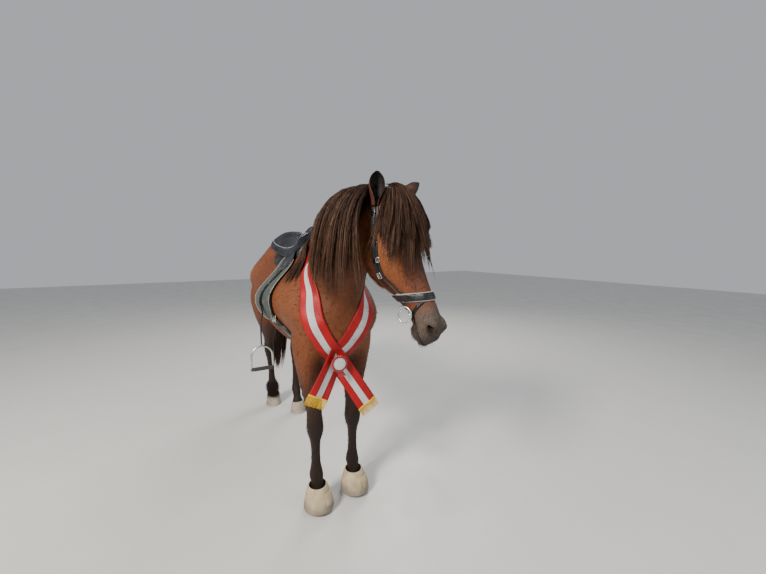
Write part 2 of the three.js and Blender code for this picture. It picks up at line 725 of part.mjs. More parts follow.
function headSlab(fromPoint, toPoint, half, limits) {
  const a = headPoint(fromPoint[0], fromPoint[1], 0);
  const b = headPoint(toPoint[0], toPoint[1], 0);
  const side = headPoint(0, 0, 1).sub(headPoint(0, 0, 0));
  const normal = b.clone().sub(a).cross(side);
  const region = slab(normal, a, half);
  const outline = new THREE.Shape(limits.map(([x, z]) => new THREE.Vector2(x, z)));
  return region.intersect(headPrism(outline, 160));
}

const CROWN = { from: [-54, -34], to: [300, -160], half: 9 };
const CHEEK = { from: [300, -160], to: [440, -110], half: 9 };
const NOSEBAND = { from: [436, 20], to: [374, -160], half: 13 };
const BROW = { from: [52, 40], to: [38, -80], half: 8 };
const crownLimits = [[-90, 60], [60, 60], [60, -76], [-90, -76]];
const upperLimits = [[-90, 60], [302, -80], [302, -250], [-90, -250]];
const lowerLimits = [[298, -70], [426, -60], [426, -220], [298, -250]];
const browLimits = [[0, 80], [80, 80], [80, -52], [0, -52]];
const noseLimits = [[340, 60], [470, 60], [470, -220], [340, -220]];

const crownRegion = (half) => headSlab(CROWN.from, CROWN.to, half, crownLimits);
const upperRegion = headSlab(CROWN.from, CROWN.to, CROWN.half, upperLimits);
const lowerRegion = headSlab(CHEEK.from, CHEEK.to, CHEEK.half, lowerLimits);
const noseRegion = (half) => headSlab(NOSEBAND.from, NOSEBAND.to, half, noseLimits);
const browRegion = (half) => headSlab(BROW.from, BROW.to, half, browLimits);

const earsCleared = earSolid(1, EAR_CLEAR).add(earSolid(-1, EAR_CLEAR));
const crown = worn(STRAP, crownRegion(CROWN.half)).subtract(earsCleared);
addNode("bridle_crownpiece", "leather", crown);
addNode("bridle_noseband", "leather", worn(7, noseRegion(NOSEBAND.half)));
const crownCleared = crownRegion(CROWN.half + GAP);
const noseCleared = noseRegion(NOSEBAND.half + GAP);
addNode(
  "bridle_browband",
  "leather",
  worn(STRAP, browRegion(BROW.half)).subtract(crownCleared).subtract(earsCleared),
);
for (const { name, sign } of SIDES) {
  const side = headPoint(0, 0, sign).sub(headPoint(0, 0, 0));
  const strap = ahead(worn(STRAP, upperRegion.add(lowerRegion)), side, headPoint(0, 0, 0));
  addNode(`bridle_cheek_${name}`, "leather", strap.subtract(crownCleared).subtract(noseCleared));
}
// The bit's rings lie beside the corners of the mouth.

const BIT = { along: 458, depth: -106, out: 62, ring: 31, wire: 4 };
for (const { name, sign } of SIDES) {
  const ring = new THREE.TorusGeometry(BIT.ring, BIT.wire, 5, 14);
  ring.rotateX(Math.PI / 2).applyMatrix4(headBasis());
  const at = headPoint(BIT.along, BIT.depth, sign * BIT.out);
  addNode(`bit_ring_${name}`, "steel", solid(ring.translate(at.x, at.y, at.z)));
}

for (const { name, sign } of SIDES) addNode(`eye_${name}`, "eye", eyeBall(sign, EYE.radius));

// The saddle: a panel on the back, a seat on the panel, and a flap each side.

const PANEL = { grow: 20, outline: [[-250, 1500], [188, 1500], [178, 1270], [-235, 1270]] };
const panelRegion = sidePrism(PANEL.outline, -150, 150);
addNode("saddle_panel", "leather", worn(PANEL.grow, panelRegion));

const FLAP = { grow: 24 };
const FLAP_OUTLINE = [
  [-30, 1262], [150, 1262], [222, 1210], [262, 1130], [262, 1060], [225, 975], [165, 925],
  [90, 915], [40, 950], [-5, 1040], [-25, 1150],
];
const flapRegion = (sign) => {
  const low = sign > 0 ? 30 : -400;
  return sidePrism(FLAP_OUTLINE, low, low + 370);
};
for (const { name, sign } of SIDES) {
  addNode(`saddle_flap_${name}`, "flap", worn(FLAP.grow, flapRegion(sign)));
}

const SEAT = [
  { at: -262, top: 1392, bottom: 1330, high: 30, mid: 40, low: 30 },
  { at: -250, top: 1416, bottom: 1280, high: 96, mid: 120, low: 110 },
  { at: -215, top: 1420, bottom: 1250, high: 130, mid: 158, low: 140 },
  { at: -150, top: 1382, bottom: 1240, high: 128, mid: 160, low: 150 },
  { at: -60, top: 1352, bottom: 1230, high: 92, mid: 128, low: 140 },
  { at: 40, top: 1362, bottom: 1230, high: 62, mid: 104, low: 130 },
  { at: 130, top: 1400, bottom: 1260, high: 52, mid: 88, low: 110 },
  { at: 172, top: 1430, bottom: 1300, high: 44, mid: 70, low: 80 },
  { at: 194, top: 1425, bottom: 1350, high: 24, mid: 36, low: 30 },
];
const seatRings = SEAT.map((row) =>
  bodyRing(row, 14, 0, (up, side) => V(row.at, side, mix(row.bottom, row.top, up))),
);
const panelCleared = shell(PANEL.grow + GAP).intersect(sidePrism(
  [[-260, 1500], [198, 1500], [188, 1260], [-245, 1260]], -151, 151,
));
const flapsCleared = shell(FLAP.grow + GAP);
addNode(
  "saddle_seat",
  "leather",
  solid(loft(seatRings)).subtract(panelCleared).subtract(bodyCleared).subtract(
    block([-300, -400, 1000], [300, 400, 1263]),
  ),
);

// The girth, in two halves that meet under the belly.

const GIRTH = { grow: 7, normal: V(1, 0, 0.22), point: V(232, 0, 740), half: 38, top: 908 };
for (const { name, sign } of SIDES) {
  const reach = sign > 0 ? [GAP / 2, 400] : [-400, -GAP / 2];
  const half = block([0, reach[0], 600], [500, reach[1], GIRTH.top]);
  const region = slab(GIRTH.normal, GIRTH.point, GIRTH.half).intersect(half);
  addNode(`girth_${name}`, "leather", worn(GIRTH.grow, region));
}

// Stirrups: a leather, an iron and its tread on each side.

const STIRRUP = { x: 150, y: 296, leatherTop: 1000, ironTop: 778, tread: 646, half: 62, wire: 6 };
for (const { name, sign } of SIDES) {
  const y = sign * STIRRUP.y;
  const leather = block(
    [STIRRUP.x - 15, y - 2.5, STIRRUP.ironTop + STIRRUP.wire + GAP],
    [STIRRUP.x + 15, y + 2.5, STIRRUP.leatherTop],
  );
  addNode(`stirrup_leather_${name}`, "leather", leather.subtract(flapsCleared.intersect(
    sidePrism(FLAP_OUTLINE.map(([x, z]) => [x, z - GAP]), -400, 400),
  )));
  const shape = new THREE.Shape();
  const low = STIRRUP.tread + 6;
  const shoulder = STIRRUP.ironTop - STIRRUP.half;
  shape.moveTo(-STIRRUP.half, low);
  shape.lineTo(-STIRRUP.half, shoulder);
  shape.absarc(0, shoulder, STIRRUP.half, Math.PI, 0, true);
  shape.lineTo(STIRRUP.half, low);
  const inner = STIRRUP.half - 2 * STIRRUP.wire;
  shape.lineTo(inner, low);
  shape.lineTo(inner, shoulder);
  shape.absarc(0, shoulder, inner, 0, Math.PI, false);
  shape.lineTo(-inner, low);
  const bow = new THREE.ExtrudeGeometry(shape, {
    depth: 2 * STIRRUP.wire,
    bevelEnabled: false,
    curveSegments: 10,
  });
  const stand = new THREE.Matrix4().makeBasis(V(0, 1, 0), V(0, 0, 1), V(1, 0, 0));
  bow.applyMatrix4(stand).translate(STIRRUP.x - STIRRUP.wire, y, 0);
  addNode(`stirrup_iron_${name}`, "steel", solid(bow));
  addNode(
    `stirrup_tread_${name}`,
    "leather",
    block(
      [STIRRUP.x - 19, y - STIRRUP.half, STIRRUP.tread - 6],
      [STIRRUP.x + 19, y + STIRRUP.half, low - GAP],
    ),
  );
}

// The sash: two bands from the crest that cross on the breast, and a tail below each.

const SASH = { half: 49, lift: 3.2, crossing: V(650, -44, 800), tailThick: 2.4, leftTailAhead: 4 };
const BANDS = {
  right: { normal: V(0.676, 0.649, 0.35), point: V(520, -128, 1150) },
  left: { normal: V(0.625, -0.651, 0.43), point: V(646, 113, 1025) },
};
const bandSlab = (side, half) => slab(BANDS[side].normal, BANDS[side].point, half);
const FRONT_LOW = 790;
const rightHalf = block([0, -600, FRONT_LOW], [900, 40, 1700]);
const leftHalf = block([0, -90, FRONT_LOW], [900, 600, 1700]);
const rightBand = worn(SASH.lift, bandSlab("right", SASH.half).intersect(rightHalf));
const overCrest = (made, sign) =>
  made.subtract(
    block([0, sign > 0 ? -600 : -GAP / 2, 1240], [420, sign > 0 ? GAP / 2 : 600, 1700]),
  );
addNode("sash_band_right", "ribbon", overCrest(rightBand, -1));
const leftBand = worn(SASH.lift, bandSlab("left", SASH.half).intersect(leftHalf));
const underRight = bandSlab("right", SASH.half + GAP).intersect(block([450, -600, 0], [900, 600, 1240]));
addNode("sash_band_left", "ribbon", overCrest(leftBand, 1).subtract(underRight));

const TAILS = {
  right: { end: V(652, -142, 640) },
  left: { end: V(652, 97, 566) },
};
const FRINGE = { length: 44, thick: 3 };
function hanging(from, to, half, thick) {
  const run = to.clone().sub(from);
  const across = V(0, run.z, -run.y).normalize().multiplyScalar(half);
  const push = V(thick / 2, 0, 0);
  const rows = [0, 1].map((t) => {
    const centre = from.clone().lerp(to, t);
    return [centre.clone().add(across), centre.clone().sub(across)];
  });
  const outer = rows.map((row) => row.map((p) => p.clone().add(push)));
  const inner = rows.map((row) => row.map((p) => p.clone().sub(push)));
  return plate(outer, inner);
}
const bandsCleared = shell(SASH.lift + GAP).intersect(block([400, -300, 770], [900, 300, 1300]));
for (const { name } of SIDES) {
  const lift = name === "left" ? SASH.leftTailAhead : 0;
  const from = SASH.crossing.clone().add(V(lift, 0, -14));
  const end = TAILS[name].end.clone().add(V(lift, 0, 0));
  const tail = hanging(from, end, SASH.half, SASH.tailThick);
  addNode(`sash_tail_${name}`, "ribbon", tail.subtract(bandsCleared).subtract(bodyCleared));
  const down = end.clone().sub(from).normalize();
  const edge = end.clone().addScaledVector(down, GAP);
  const fringe = hanging(edge, edge.clone().addScaledVector(down, FRINGE.length), SASH.half, FRINGE.thick);
  addNode(`sash_fringe_${name}`, "fringe", fringe);
}

const ROSETTE = { radius: 39, centre: 27, thick: 6 };
const rosetteX = SASH.crossing.x + 26;
function disc(radius, thick, x) {
  const round = new THREE.CylinderGeometry(radius, radius, thick, 24).rotateZ(Math.PI / 2);
  return solid(round.translate(x, SASH.crossing.y, SASH.crossing.z - 12));
}
addNode("rosette", "ribbon", disc(ROSETTE.radius, ROSETTE.thick, rosetteX));
addNode("rosette_centre", "badge", disc(ROSETTE.centre, 4, rosetteX + ROSETTE.thick / 2 + 2 + GAP));

// Bell boots on the fore hooves

const BOOT = [
  { at: 17, front: 106, back: -54, half: 75 },
  { at: 60, front: 92, back: -50, half: 68 },
  { at: 98, front: 70, back: -44, half: 55 },
  { at: 116, front: 58, back: -40, half: 46 },
];
for (const leg of LEGS.filter((one) => legKind(one) === "fore")) {
  const rings = BOOT.map((row) =>
    Array.from({ length: 14 }, (_, j) => {
      const angle = (2 * Math.PI * j) / 14;
      const reach = (row.front - row.back) / 2;
      const x = leg.axis + (row.front + row.back) / 2 + reach * Math.cos(angle);
      return V(x, leg.rows[0].out * leg.sign + row.half * Math.sin(angle), row.at);
    }),
  );
  const boot = solid(loft(rings)).subtract(hoofSolid(leg, 2)).subtract(legSolid(leg, GAP));
  addNode(`boot_${leg.name}`, "boot", boot);
}

// Hair: flat locks that taper and overlap, in two layers, each rooted well inside what it grows on.

const LOCK_TAPER = [0.62, 0.9, 1, 0.94, 0.66, 0.05];
const LOCK_AT = [0, 0.07, 0.3, 0.55, 0.8, 1];

// A lock through points, each with the direction that its flat side faces.
function lock(path, half, thick) {
  const rings = path.map(({ point, out }, i) => {
    const before = path[Math.max(i - 1, 0)].point;
    const after = path[Math.min(i + 1, path.length - 1)].point;
    const along = after.clone().sub(before).normalize();
    const across = along.clone().cross(out).normalize();
    const face = across.clone().cross(along).normalize();
    const w = half * LOCK_TAPER[i];
    const t = (thick / 2) * Math.max(LOCK_TAPER[i], 0.25);
    return [
      point.clone().addScaledVector(across, w),
      point.clone().addScaledVector(face, t),
      point.clone().addScaledVector(across, -w),
      point.clone().addScaledVector(face, -t),
    ];
  });
  return solid(loft(rings));
}

// Each lock is turned a little about its own length, so that its edge stands over its neighbour's.
const MANE = { half: 33, thick: 8, lifts: [11, 23], pitch: 0.115, sink: 14, longest: 490, twist: 0.24 };
const WITHERS = { x: [216, 240], length: 330, half: 22, lean: 0.3 };

function crestAt(at) {
  const turn = turnAt(at);
  const row = rowAt(NECK, at);
  return {
    root: turned(turn, row.topX, 0, row.topZ),
    side: V(-Math.sin(turn.yaw), Math.cos(turn.yaw), 0),
    front: V(Math.cos(turn.yaw), Math.sin(turn.yaw), 0),
  };
}

// How far a point lies ahead of the sash's band on its side, from the band's edge.
function aheadOfBand(point, sign) {
  const band = sign < 0 ? BANDS.right : BANDS.left;
  return point.clone().sub(band.point).dot(band.normal.clone().normalize());
}

function fallingPath({ root, side, front }, sign, length, lean, lift) {
  const out = side.clone().multiplyScalar(sign);
  const facing = out.clone().addScaledVector(front, MANE.twist).normalize();
  let offset = 0;
  return LOCK_AT.map((t, i) => {
    if (i === 0) return { point: root.clone().add(V(0, 0, -MANE.sink)), out: V(0, 0, 1).add(out) };
    const flat = root.clone().addScaledVector(front, lean * t * length).add(V(0, 0, -length * t));
    const hit = surfaceAt(flat, out);
    offset = hit ? hit.sub(flat).dot(out) : offset * 0.97;
    return { point: flat.addScaledVector(out, offset + lift), out: facing };
  });
}

function maneLocks(draw) {
  const made = [];
  for (const { sign } of SIDES) {
    MANE.lifts.forEach((lift, layer) => {
      for (let at = 0.14 + (layer * MANE.pitch) / 2; at < 0.94; at += MANE.pitch) {
        const crest = crestAt(at);
        const full = MANE.longest * (sign < 0 ? 1 : 0.86) * (0.7 + 0.34 * draw() - 0.12 * layer);
        const lean = 0.1 + 0.12 * draw();
        let length = full;
        let path = fallingPath(crest, sign, length, lean, lift);
        const clear = () =>
          path.slice(1).every((step) => aheadOfBand(step.point, sign) > SASH.half + MANE.half + 6);
        while (length > 90 && !clear()) {
          length -= 15;
          path = fallingPath(crest, sign, length, lean, lift);
        }
        if (clear()) made.push(lock(path, MANE.half, MANE.thick));
      }
    });
  }
  return made;
}

function withersLocks(draw) {
  const made = [];
  for (const { sign } of SIDES) {
    WITHERS.x.forEach((x, i) => {
      const row = rowAt(TORSO, x);
      const crest = { root: V(x, 0, row.top), side: V(0, 1, 0), front: V(1, 0, 0) };
      const length = WITHERS.length * (0.85 + 0.25 * draw());
      const path = fallingPath(crest, sign, length, WITHERS.lean, MANE.lifts[i]);
      made.push(lock(path, WITHERS.half, MANE.thick));
    });
  }
  return made;
}

const FORELOCK = { half: 19, thick: 8, lifts: [11, 23], length: 296, sink: 12, twist: 0.42 };
const FORELOCK_FANS = [
  { layer: 0, angles: [-1.0, -0.5, 0, 0.5, 1.05] },
  { layer: 1, angles: [-0.72, -0.24, 0.26, 0.8] },
];

function forelockLocks(draw) {
  const made = [];
  const axis = -34;
  const origin = headPoint(0, 0, 0);
  const up = headPoint(0, 1, 0).sub(origin);
  const left = headPoint(0, 0, 1).sub(origin);
  for (const { layer, angles } of FORELOCK_FANS) {
    for (const angle of angles) {
      const length = FORELOCK.length * (0.68 + 0.36 * draw());
      const turn = angle < 0 ? -FORELOCK.twist : FORELOCK.twist;
      const around = (by) => up.clone().multiplyScalar(Math.cos(by)).addScaledVector(left, Math.sin(by));
      const path = LOCK_AT.map((t, i) => {
        const open = angle * mix(0.34, 1, smooth(t * 1.6));
        const out = around(open);
        const from = headPoint(6 + length * t, axis, 0);
        const hit = surfaceAt(from, out) ?? from.clone().addScaledVector(out, 50);
        const lift = i === 0 ? -FORELOCK.sink : FORELOCK.lifts[layer];
        return { point: hit.clone().addScaledVector(out, lift), out: around(open - turn) };
      });
      made.push(lock(path, FORELOCK.half, FORELOCK.thick));
    }
  }
  return made;
}

// Neck, head, torso and their hair

const NECK_CUT = { normal: V(390, 0, 310), point: V(330, 0, 1400) };
const throatLow = turned(HEAD_PLACE, 790, 0, 1310);
const napeHigh = turned(HEAD_PLACE, 868, 0, 1575);
const headLeft = headPoint(0, 0, 1).sub(headPoint(0, 0, 0));
const HEAD_CUT = {
  normal: napeHigh.clone().sub(throatLow).cross(headLeft).negate(),
  point: throatLow,
};

let headMade = face(0);
for (const { name, sign } of SIDES) {
  headMade = headMade.subtract(eyeBall(sign, EYE.radius + GAP));
  const hole = headPoint(NOSTRIL.along, NOSTRIL.depth, sign * NOSTRIL.out);
  headMade = headMade.subtract(ball(hole, NOSTRIL.radii, headBasis(NOSTRIL_TILT, sign * 0.35)));
}
headMade = headMade.subtract(mouthCut());
const headRegion = ahead(headMade, HEAD_CUT.normal, HEAD_CUT.point);
const neckRegion = behind(
  ahead(trunk, NECK_CUT.normal, NECK_CUT.point),
  HEAD_CUT.normal,
  HEAD_CUT.point,
);
const draw = drawsFrom(11);
const CROWN_CLEAR = 24;
const EYE_CLEAR = 3;
const strapsCleared = worn(STRAP + GAP, crownRegion(CROWN.half + GAP))
  .add(worn(STRAP + GAP, browRegion(BROW.half + GAP)))
  .add(earsCleared);
const eyesCleared = eyeBall(1, EYE.radius + EYE_CLEAR).add(eyeBall(-1, EYE.radius + EYE_CLEAR));
const forelock = joined(forelockLocks(draw)).subtract(strapsCleared).subtract(eyesCleared);
const alongPlane = (cut, distance) =>
  cut.point.clone().addScaledVector(cut.normal.clone().normalize(), distance);
const mane = behind(
  joined(maneLocks(draw)),
  HEAD_CUT.normal,
  alongPlane(HEAD_CUT, -CROWN_CLEAR),
).subtract(behind(bodyCleared, NECK_CUT.normal, alongPlane(NECK_CUT, 2 * GAP)));
const flapMiddle = [110, 1090];
const flapZone = FLAP_OUTLINE.map((p) => p.map((v, k) => mix(flapMiddle[k], v, 1.02)));
const bandZone = bandSlab("right", SASH.half + GAP).intersect(block([0, -600, 800], [900, 0, 1700]));
const withers = joined(withersLocks(draw))
  .subtract(shell(FLAP.grow + GAP).intersect(sidePrism(flapZone, -400, 400)))
  .subtract(shell(SASH.lift + GAP).intersect(bandZone));
addNode("head", "coat", headRegion.add(forelock));
addNode("neck", "coat", neckRegion.add(mane));
addNode("torso", "coat", behind(trunk, NECK_CUT.normal, NECK_CUT.point).add(withers));

// The tail: a dock and core, and locks in three tiers that fall to the tips.

const TAIL = [
  { at: 1165, front: -800, back: -850, half: 30 },
  { at: 1120, front: -820, back: -900, half: 48 },
  { at: 1040, front: -856, back: -945, half: 64 },
  { at: 900, front: -884, back: -985, half: 84 },
  { at: 700, front: -890, back: -1000, half: 94 },
  { at: 480, front: -892, back: -992, half: 84 },
  { at: 300, front: -898, back: -970, half: 60 },
  { at: 215, front: -910, back: -950, half: 30 },
].reverse();
const TAIL_CORE = { share: 0.48, at: [1165, 1120, 1040, 900, 780, 700] };
const TAIL_LOCK = { half: 29, thick: 7 };
const TAIL_TIERS = [
  { root: 1120, tip: 430, count: 5, share: 1 },
  { root: 980, tip: 300, count: 6, share: 0.83 },
  { root: 850, tip: 215, count: 5, share: 0.66 },
];

function tailPoint(z, angle, share) {
  const row = rowAt(TAIL, z);
  const reach = ((row.front - row.back) / 2) * share;
  const x = (row.front + row.back) / 2 + reach * Math.cos(angle);
  return V(x, row.half * share * Math.sin(angle), z);
}

function tailSolid() {
  const core = TAIL_CORE.at.map((z) =>
    Array.from({ length: 10 }, (_, j) => tailPoint(z, (2 * Math.PI * j) / 10, TAIL_CORE.share)),
  );
  const made = [solid(loft(core))];
  TAIL_TIERS.forEach(({ root, tip, count, share }, tier) => {
    for (let k = 0; k < count; k++) {
      const angle = (2 * Math.PI * (k + tier * 0.5)) / count;
      const out = V(Math.cos(angle), Math.sin(angle), 0);
      const end = tip + 70 * draw();
      const path = LOCK_AT.map((t, i) => {
        const z = mix(root, end, t);
        const reach = i === 0 ? TAIL_CORE.share * 0.6 : share;
        return { point: tailPoint(z, angle, reach), out };
      });
      made.push(lock(path, TAIL_LOCK.half, TAIL_LOCK.thick));
    }
  });
  return joined(made);
}
addNode("tail", "mane", tailSolid().subtract(bodyCleared));

// The origin stands on the floor under the middle of the whole.

figure.updateMatrixWorld(true);
const extent = new THREE.Box3().setFromObject(figure);
const middle = extent.getCenter(V(0, 0, 0));
figure.position.set(-middle.x, -middle.y, -extent.min.z);

export default horse;
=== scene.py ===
"""The looks of an Icelandic horse with saddle, bridle, winner's sash and bell boots."""
import math

import bmesh
import bpy
import numpy as np
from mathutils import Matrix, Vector
from mathutils.bvhtree import BVHTree


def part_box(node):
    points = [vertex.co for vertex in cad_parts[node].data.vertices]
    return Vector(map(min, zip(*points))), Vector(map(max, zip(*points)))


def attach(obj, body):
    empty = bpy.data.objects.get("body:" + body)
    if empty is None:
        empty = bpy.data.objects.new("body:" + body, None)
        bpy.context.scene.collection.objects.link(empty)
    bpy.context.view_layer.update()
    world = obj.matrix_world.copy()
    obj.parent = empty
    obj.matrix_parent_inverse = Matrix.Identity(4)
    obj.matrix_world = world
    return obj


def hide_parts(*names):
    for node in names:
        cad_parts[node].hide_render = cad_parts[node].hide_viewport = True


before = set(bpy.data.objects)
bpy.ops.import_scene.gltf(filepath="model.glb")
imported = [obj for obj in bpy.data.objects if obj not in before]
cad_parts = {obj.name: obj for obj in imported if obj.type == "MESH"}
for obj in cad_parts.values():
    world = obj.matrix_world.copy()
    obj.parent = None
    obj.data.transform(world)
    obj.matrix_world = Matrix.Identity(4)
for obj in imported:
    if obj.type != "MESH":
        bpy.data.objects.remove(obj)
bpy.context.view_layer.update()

# Lengths are millimetres in the horse's own frame: x forward, y to its left, z up.
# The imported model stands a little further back, by as much as its stirrup shows.

STIRRUP = {"x": 150, "y": 296, "top": 778, "tread": 646, "half": 62, "wire": 6}
MM = 1000.0
AHEAD, LEFTWARD, UPWARD = np.eye(3)


def stirrup_shift():
    low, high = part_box("stirrup_iron_right")
    return (low[0] + high[0]) / 2 * MM - STIRRUP["x"]


SHIFT = np.array([stirrup_shift(), 0.0, 0.0])

# Camera: where it stands and looks, from the hooves, knees and head in the picture.

CAMERA = {"at": (2054.7, -581.3, 1299.9), "yaw": 151.17, "pitch": -6.31, "focal_px": 336.3}
PICTURE = (766, 574)
SENSOR = 36.0


def make_camera():
    data = bpy.data.cameras.new("camera")
    data.sensor_fit = "HORIZONTAL"
    data.sensor_width = SENSOR
    data.lens = CAMERA["focal_px"] * SENSOR / PICTURE[0]
    data.clip_end = 100
    camera = bpy.data.objects.new("camera", data)
    bpy.context.scene.collection.objects.link(camera)
    camera.location = Vector((np.array(CAMERA["at"]) + SHIFT) / MM)
    camera.rotation_euler = (
        math.radians(90 + CAMERA["pitch"]),
        0,
        math.radians(CAMERA["yaw"] - 90),
    )
    bpy.context.scene.camera = camera


make_camera()

# Body stations, as the solids have them.

NECK_TURN = math.radians(23)
FACE_TURN = math.radians(20)
FACE_DROP = math.radians(64)
POLL = (900, 1515)
SIDES = {"right": -1, "left": 1}
OTHER = {"right": "left", "left": "right"}


def table(keys, rows):
    return {key: np.array([row[k] for row in rows], float) for k, key in enumerate(keys.split())}


TORSO = table(
    "at top bottom high mid low",
    [
        (-838, 1150, 1030, 40, 55, 40),
        (-815, 1205, 965, 85, 118, 90),
        (-760, 1275, 900, 125, 180, 130),
        (-670, 1332, 852, 160, 225, 150),
        (-560, 1364, 815, 185, 245, 160),
        (-450, 1374, 785, 195, 252, 170),
        (-330, 1352, 762, 190, 262, 195),
        (-200, 1315, 742, 185, 277, 222),
        (-70, 1294, 728, 180, 287, 232),
        (60, 1296, 724, 172, 283, 222),
        (180, 1340, 728, 132, 268, 200),
        (280, 1376, 732, 98, 250, 180),
        (370, 1366, 736, 94, 238, 168),
        (450, 1318, 740, 102, 230, 160),
        (530, 1245, 750, 112, 215, 152),
        (595, 1170, 774, 112, 186, 136),
        (640, 1105, 822, 92, 140, 108),
        (662, 1050, 890, 50, 74, 54),
    ],
)
NECK = table(
    "at topX topZ bottomX bottomZ high mid low",
    [
        (0.0, 290, 1335, 560, 870, 66, 162, 128),
        (0.15, 380, 1390, 618, 950, 58, 148, 124),
        (0.3, 470, 1440, 660, 1024, 49, 126, 110),
        (0.45, 565, 1487, 694, 1096, 44, 108, 94),
        (0.6, 660, 1526, 722, 1166, 42, 94, 80),
        (0.75, 750, 1552, 750, 1236, 43, 85, 70),
        (0.9, 832, 1556, 780, 1300, 46, 78, 60),
        (1.0, 884, 1536, 812, 1342, 48, 68, 50),
    ],
)
HEAD = table(
    "at top bottom high mid low",
    [
        (-22, -42, -118, 30, 42, 30),
        (0, -4, -154, 56, 64, 44),
        (45, 14, -196, 74, 75, 54),
        (105, 24, -232, 90, 84, 62),
        (165, 24, -256, 99, 91, 66),
        (225, 16, -258, 91, 90, 64),
        (285, 7, -228, 70, 78, 55),
        (345, 3, -182, 52, 63, 46),
        (405, 0, -147, 43, 53, 39),
        (460, -1, -124, 41, 49, 37),
        (505, -3, -127, 46, 52, 39),
        (545, -12, -136, 48, 52, 40),
        (574, -30, -132, 42, 46, 34),
        (590, -54, -114, 24, 28, 20),
    ],
)
FORE_LEG = table(
    "at front back half out",
    [
        (58, 66, -34, 46, 106),
        (84, 57, -29, 43, 106),
        (108, 45, -25, 33, 106),
        (132, 38, -34, 33, 106),
        (158, 36, -49, 38, 106),
        (188, 31, -42, 33, 106),
        (230, 27, -36, 26, 107),
        (300, 27, -35, 25, 107),
        (348, 31, -38, 29, 108),
        (378, 40, -43, 38, 108),
        (412, 46, -47, 44, 108),
        (448, 44, -49, 43, 109),
        (484, 41, -47, 40, 110),
        (545, 47, -56, 45, 113),
        (615, 59, -74, 53, 118),
        (695, 77, -100, 62, 124),
        (775, 96, -126, 70, 131),
        (860, 112, -138, 72, 138),
        (940, 95, -120, 52, 140),
    ],
)
HIND_LEG = table(
    "at front back half out",
    [
        (58, -652, -742, 45, 75),
        (84, -658, -738, 42, 75),
        (108, -670, -738, 33, 75),
        (134, -680, -750, 33, 76),
        (162, -688, -772, 38, 76),
        (194, -700, -770, 33, 77),
        (245, -706, -767, 27, 79),
        (335, -706, -768, 27, 83),
        (402, -700, -777, 32, 87),
        (445, -690, -795, 38, 90),
        (495, -676, -814, 41, 93),
        (532, -660, -819, 38, 95),
        (568, -642, -798, 37, 98),
        (625, -600, -770, 48, 104),
        (700, -532, -768, 66, 114),
        (780, -455, -792, 86, 126),
        (855, -412, -815, 100, 134),
        (935, -398, -826, 108, 138),
        (1010, -425, -806, 98, 138),
        (1085, -490, -750, 62, 138),
    ],
)
LEGS = {
    "fore_right": {"rows": FORE_LEG, "sign": -1, "axis": 490, "swing": 0},
    "fore_left": {"rows": FORE_LEG, "sign": 1, "axis": 460, "swing": 0},
    "hind_right": {"rows": HIND_LEG, "sign": -1, "axis": 0, "swing": -105},
    "hind_left": {"rows": HIND_LEG, "sign": 1, "axis": 0, "swing": 125},
}
HIP_HEIGHT = 1085
HIND_HOOF_AXIS = -716

# Muscles and bones: centre, reach each way, and how far they stand out of the body.

MUSCLES = [
    ((430, 200, 1110), (105, 90, 150), 12),
    ((575, 150, 1000), (60, 70, 75), 16),
    ((640, 62, 930), (60, 48, 80), 18),
    ((360, 205, 905), (90, 80, 85), 14),
    ((-620, 230, 1120), (140, 100, 140), 14),
    ((-400, 200, 1275), (50, 60, 42), 12),
    ((-335, 250, 1080), (60, 90, 85), -14),
    ((-800, 95, 1040), (60, 60, 110), 10),
]


def circle(count):
    """Angles all the way round."""
    return 2 * math.pi * np.arange(count) / count


def stations(rows, count):
    """Even steps from the first row of a table to its last."""
    return np.linspace(rows["at"][0], rows["at"][-1], count)


def read_at(rows, key, at):
    """A smooth curve through one column of a table."""
    xs, ys = rows["at"], rows[key]
    slopes = np.empty(len(xs))
    slopes[1:-1] = (ys[2:] - ys[:-2]) / (xs[2:] - xs[:-2])
    slopes[0] = (ys[1] - ys[0]) / (xs[1] - xs[0])
    slopes[-1] = (ys[-1] - ys[-2]) / (xs[-1] - xs[-2])
    i = int(np.clip(np.searchsorted(xs, at, "right") - 1, 0, len(xs) - 2))
    span = xs[i + 1] - xs[i]
    t = (at - xs[i]) / span
    curve = ys[i] * (1 + 2 * t) * (1 - t) ** 2 + ys[i + 1] * t * t * (3 - 2 * t)
    return curve + span * (slopes[i] * t * (1 - t) ** 2 - slopes[i + 1] * t * t * (1 - t))


def row_at(rows, at):
    return {key: read_at(rows, key, at) for key in rows if key != "at"}


def ease(t):
    c = np.clip(t, 0, 1)
    return c * c * (3 - 2 * c)


def between(low, high, value):
    return ease((value - low) / (high - low))


def mix(a, b, t):
    return a + (b - a) * t


def unit(v):
    v = np.asarray(v, float)
    return v / np.maximum(np.linalg.norm(v, axis=-1, keepdims=True), 1e-9)


# The turn of the neck and the head's own axes

TURN_STEPS = 60


def neck_path():
    path = []
    x = y = last = 0
    for i in range(TURN_STEPS + 1):
        at = i / TURN_STEPS
        middle = (read_at(NECK, "topX", at) + read_at(NECK, "bottomX", at)) / 2
        yaw = NECK_TURN * ease(at / 0.85)
        if i == 0:
            x = middle
        else:
            x += (middle - last) * math.cos(yaw)
            y += (middle - last) * math.sin(yaw)
        last = middle
        path.append((at, middle, yaw, x, y))
    return table("at middle yaw x y", path)


NECK_PATH = neck_path()


def turned(turn, x, y, z):
    c, s = math.cos(turn["yaw"]), math.sin(turn["yaw"])
    dx = x - turn["middle"]
    return np.stack(np.broadcast_arrays(turn["x"] + dx * c - y * s, turn["y"] + dx * s + y * c, z), -1)


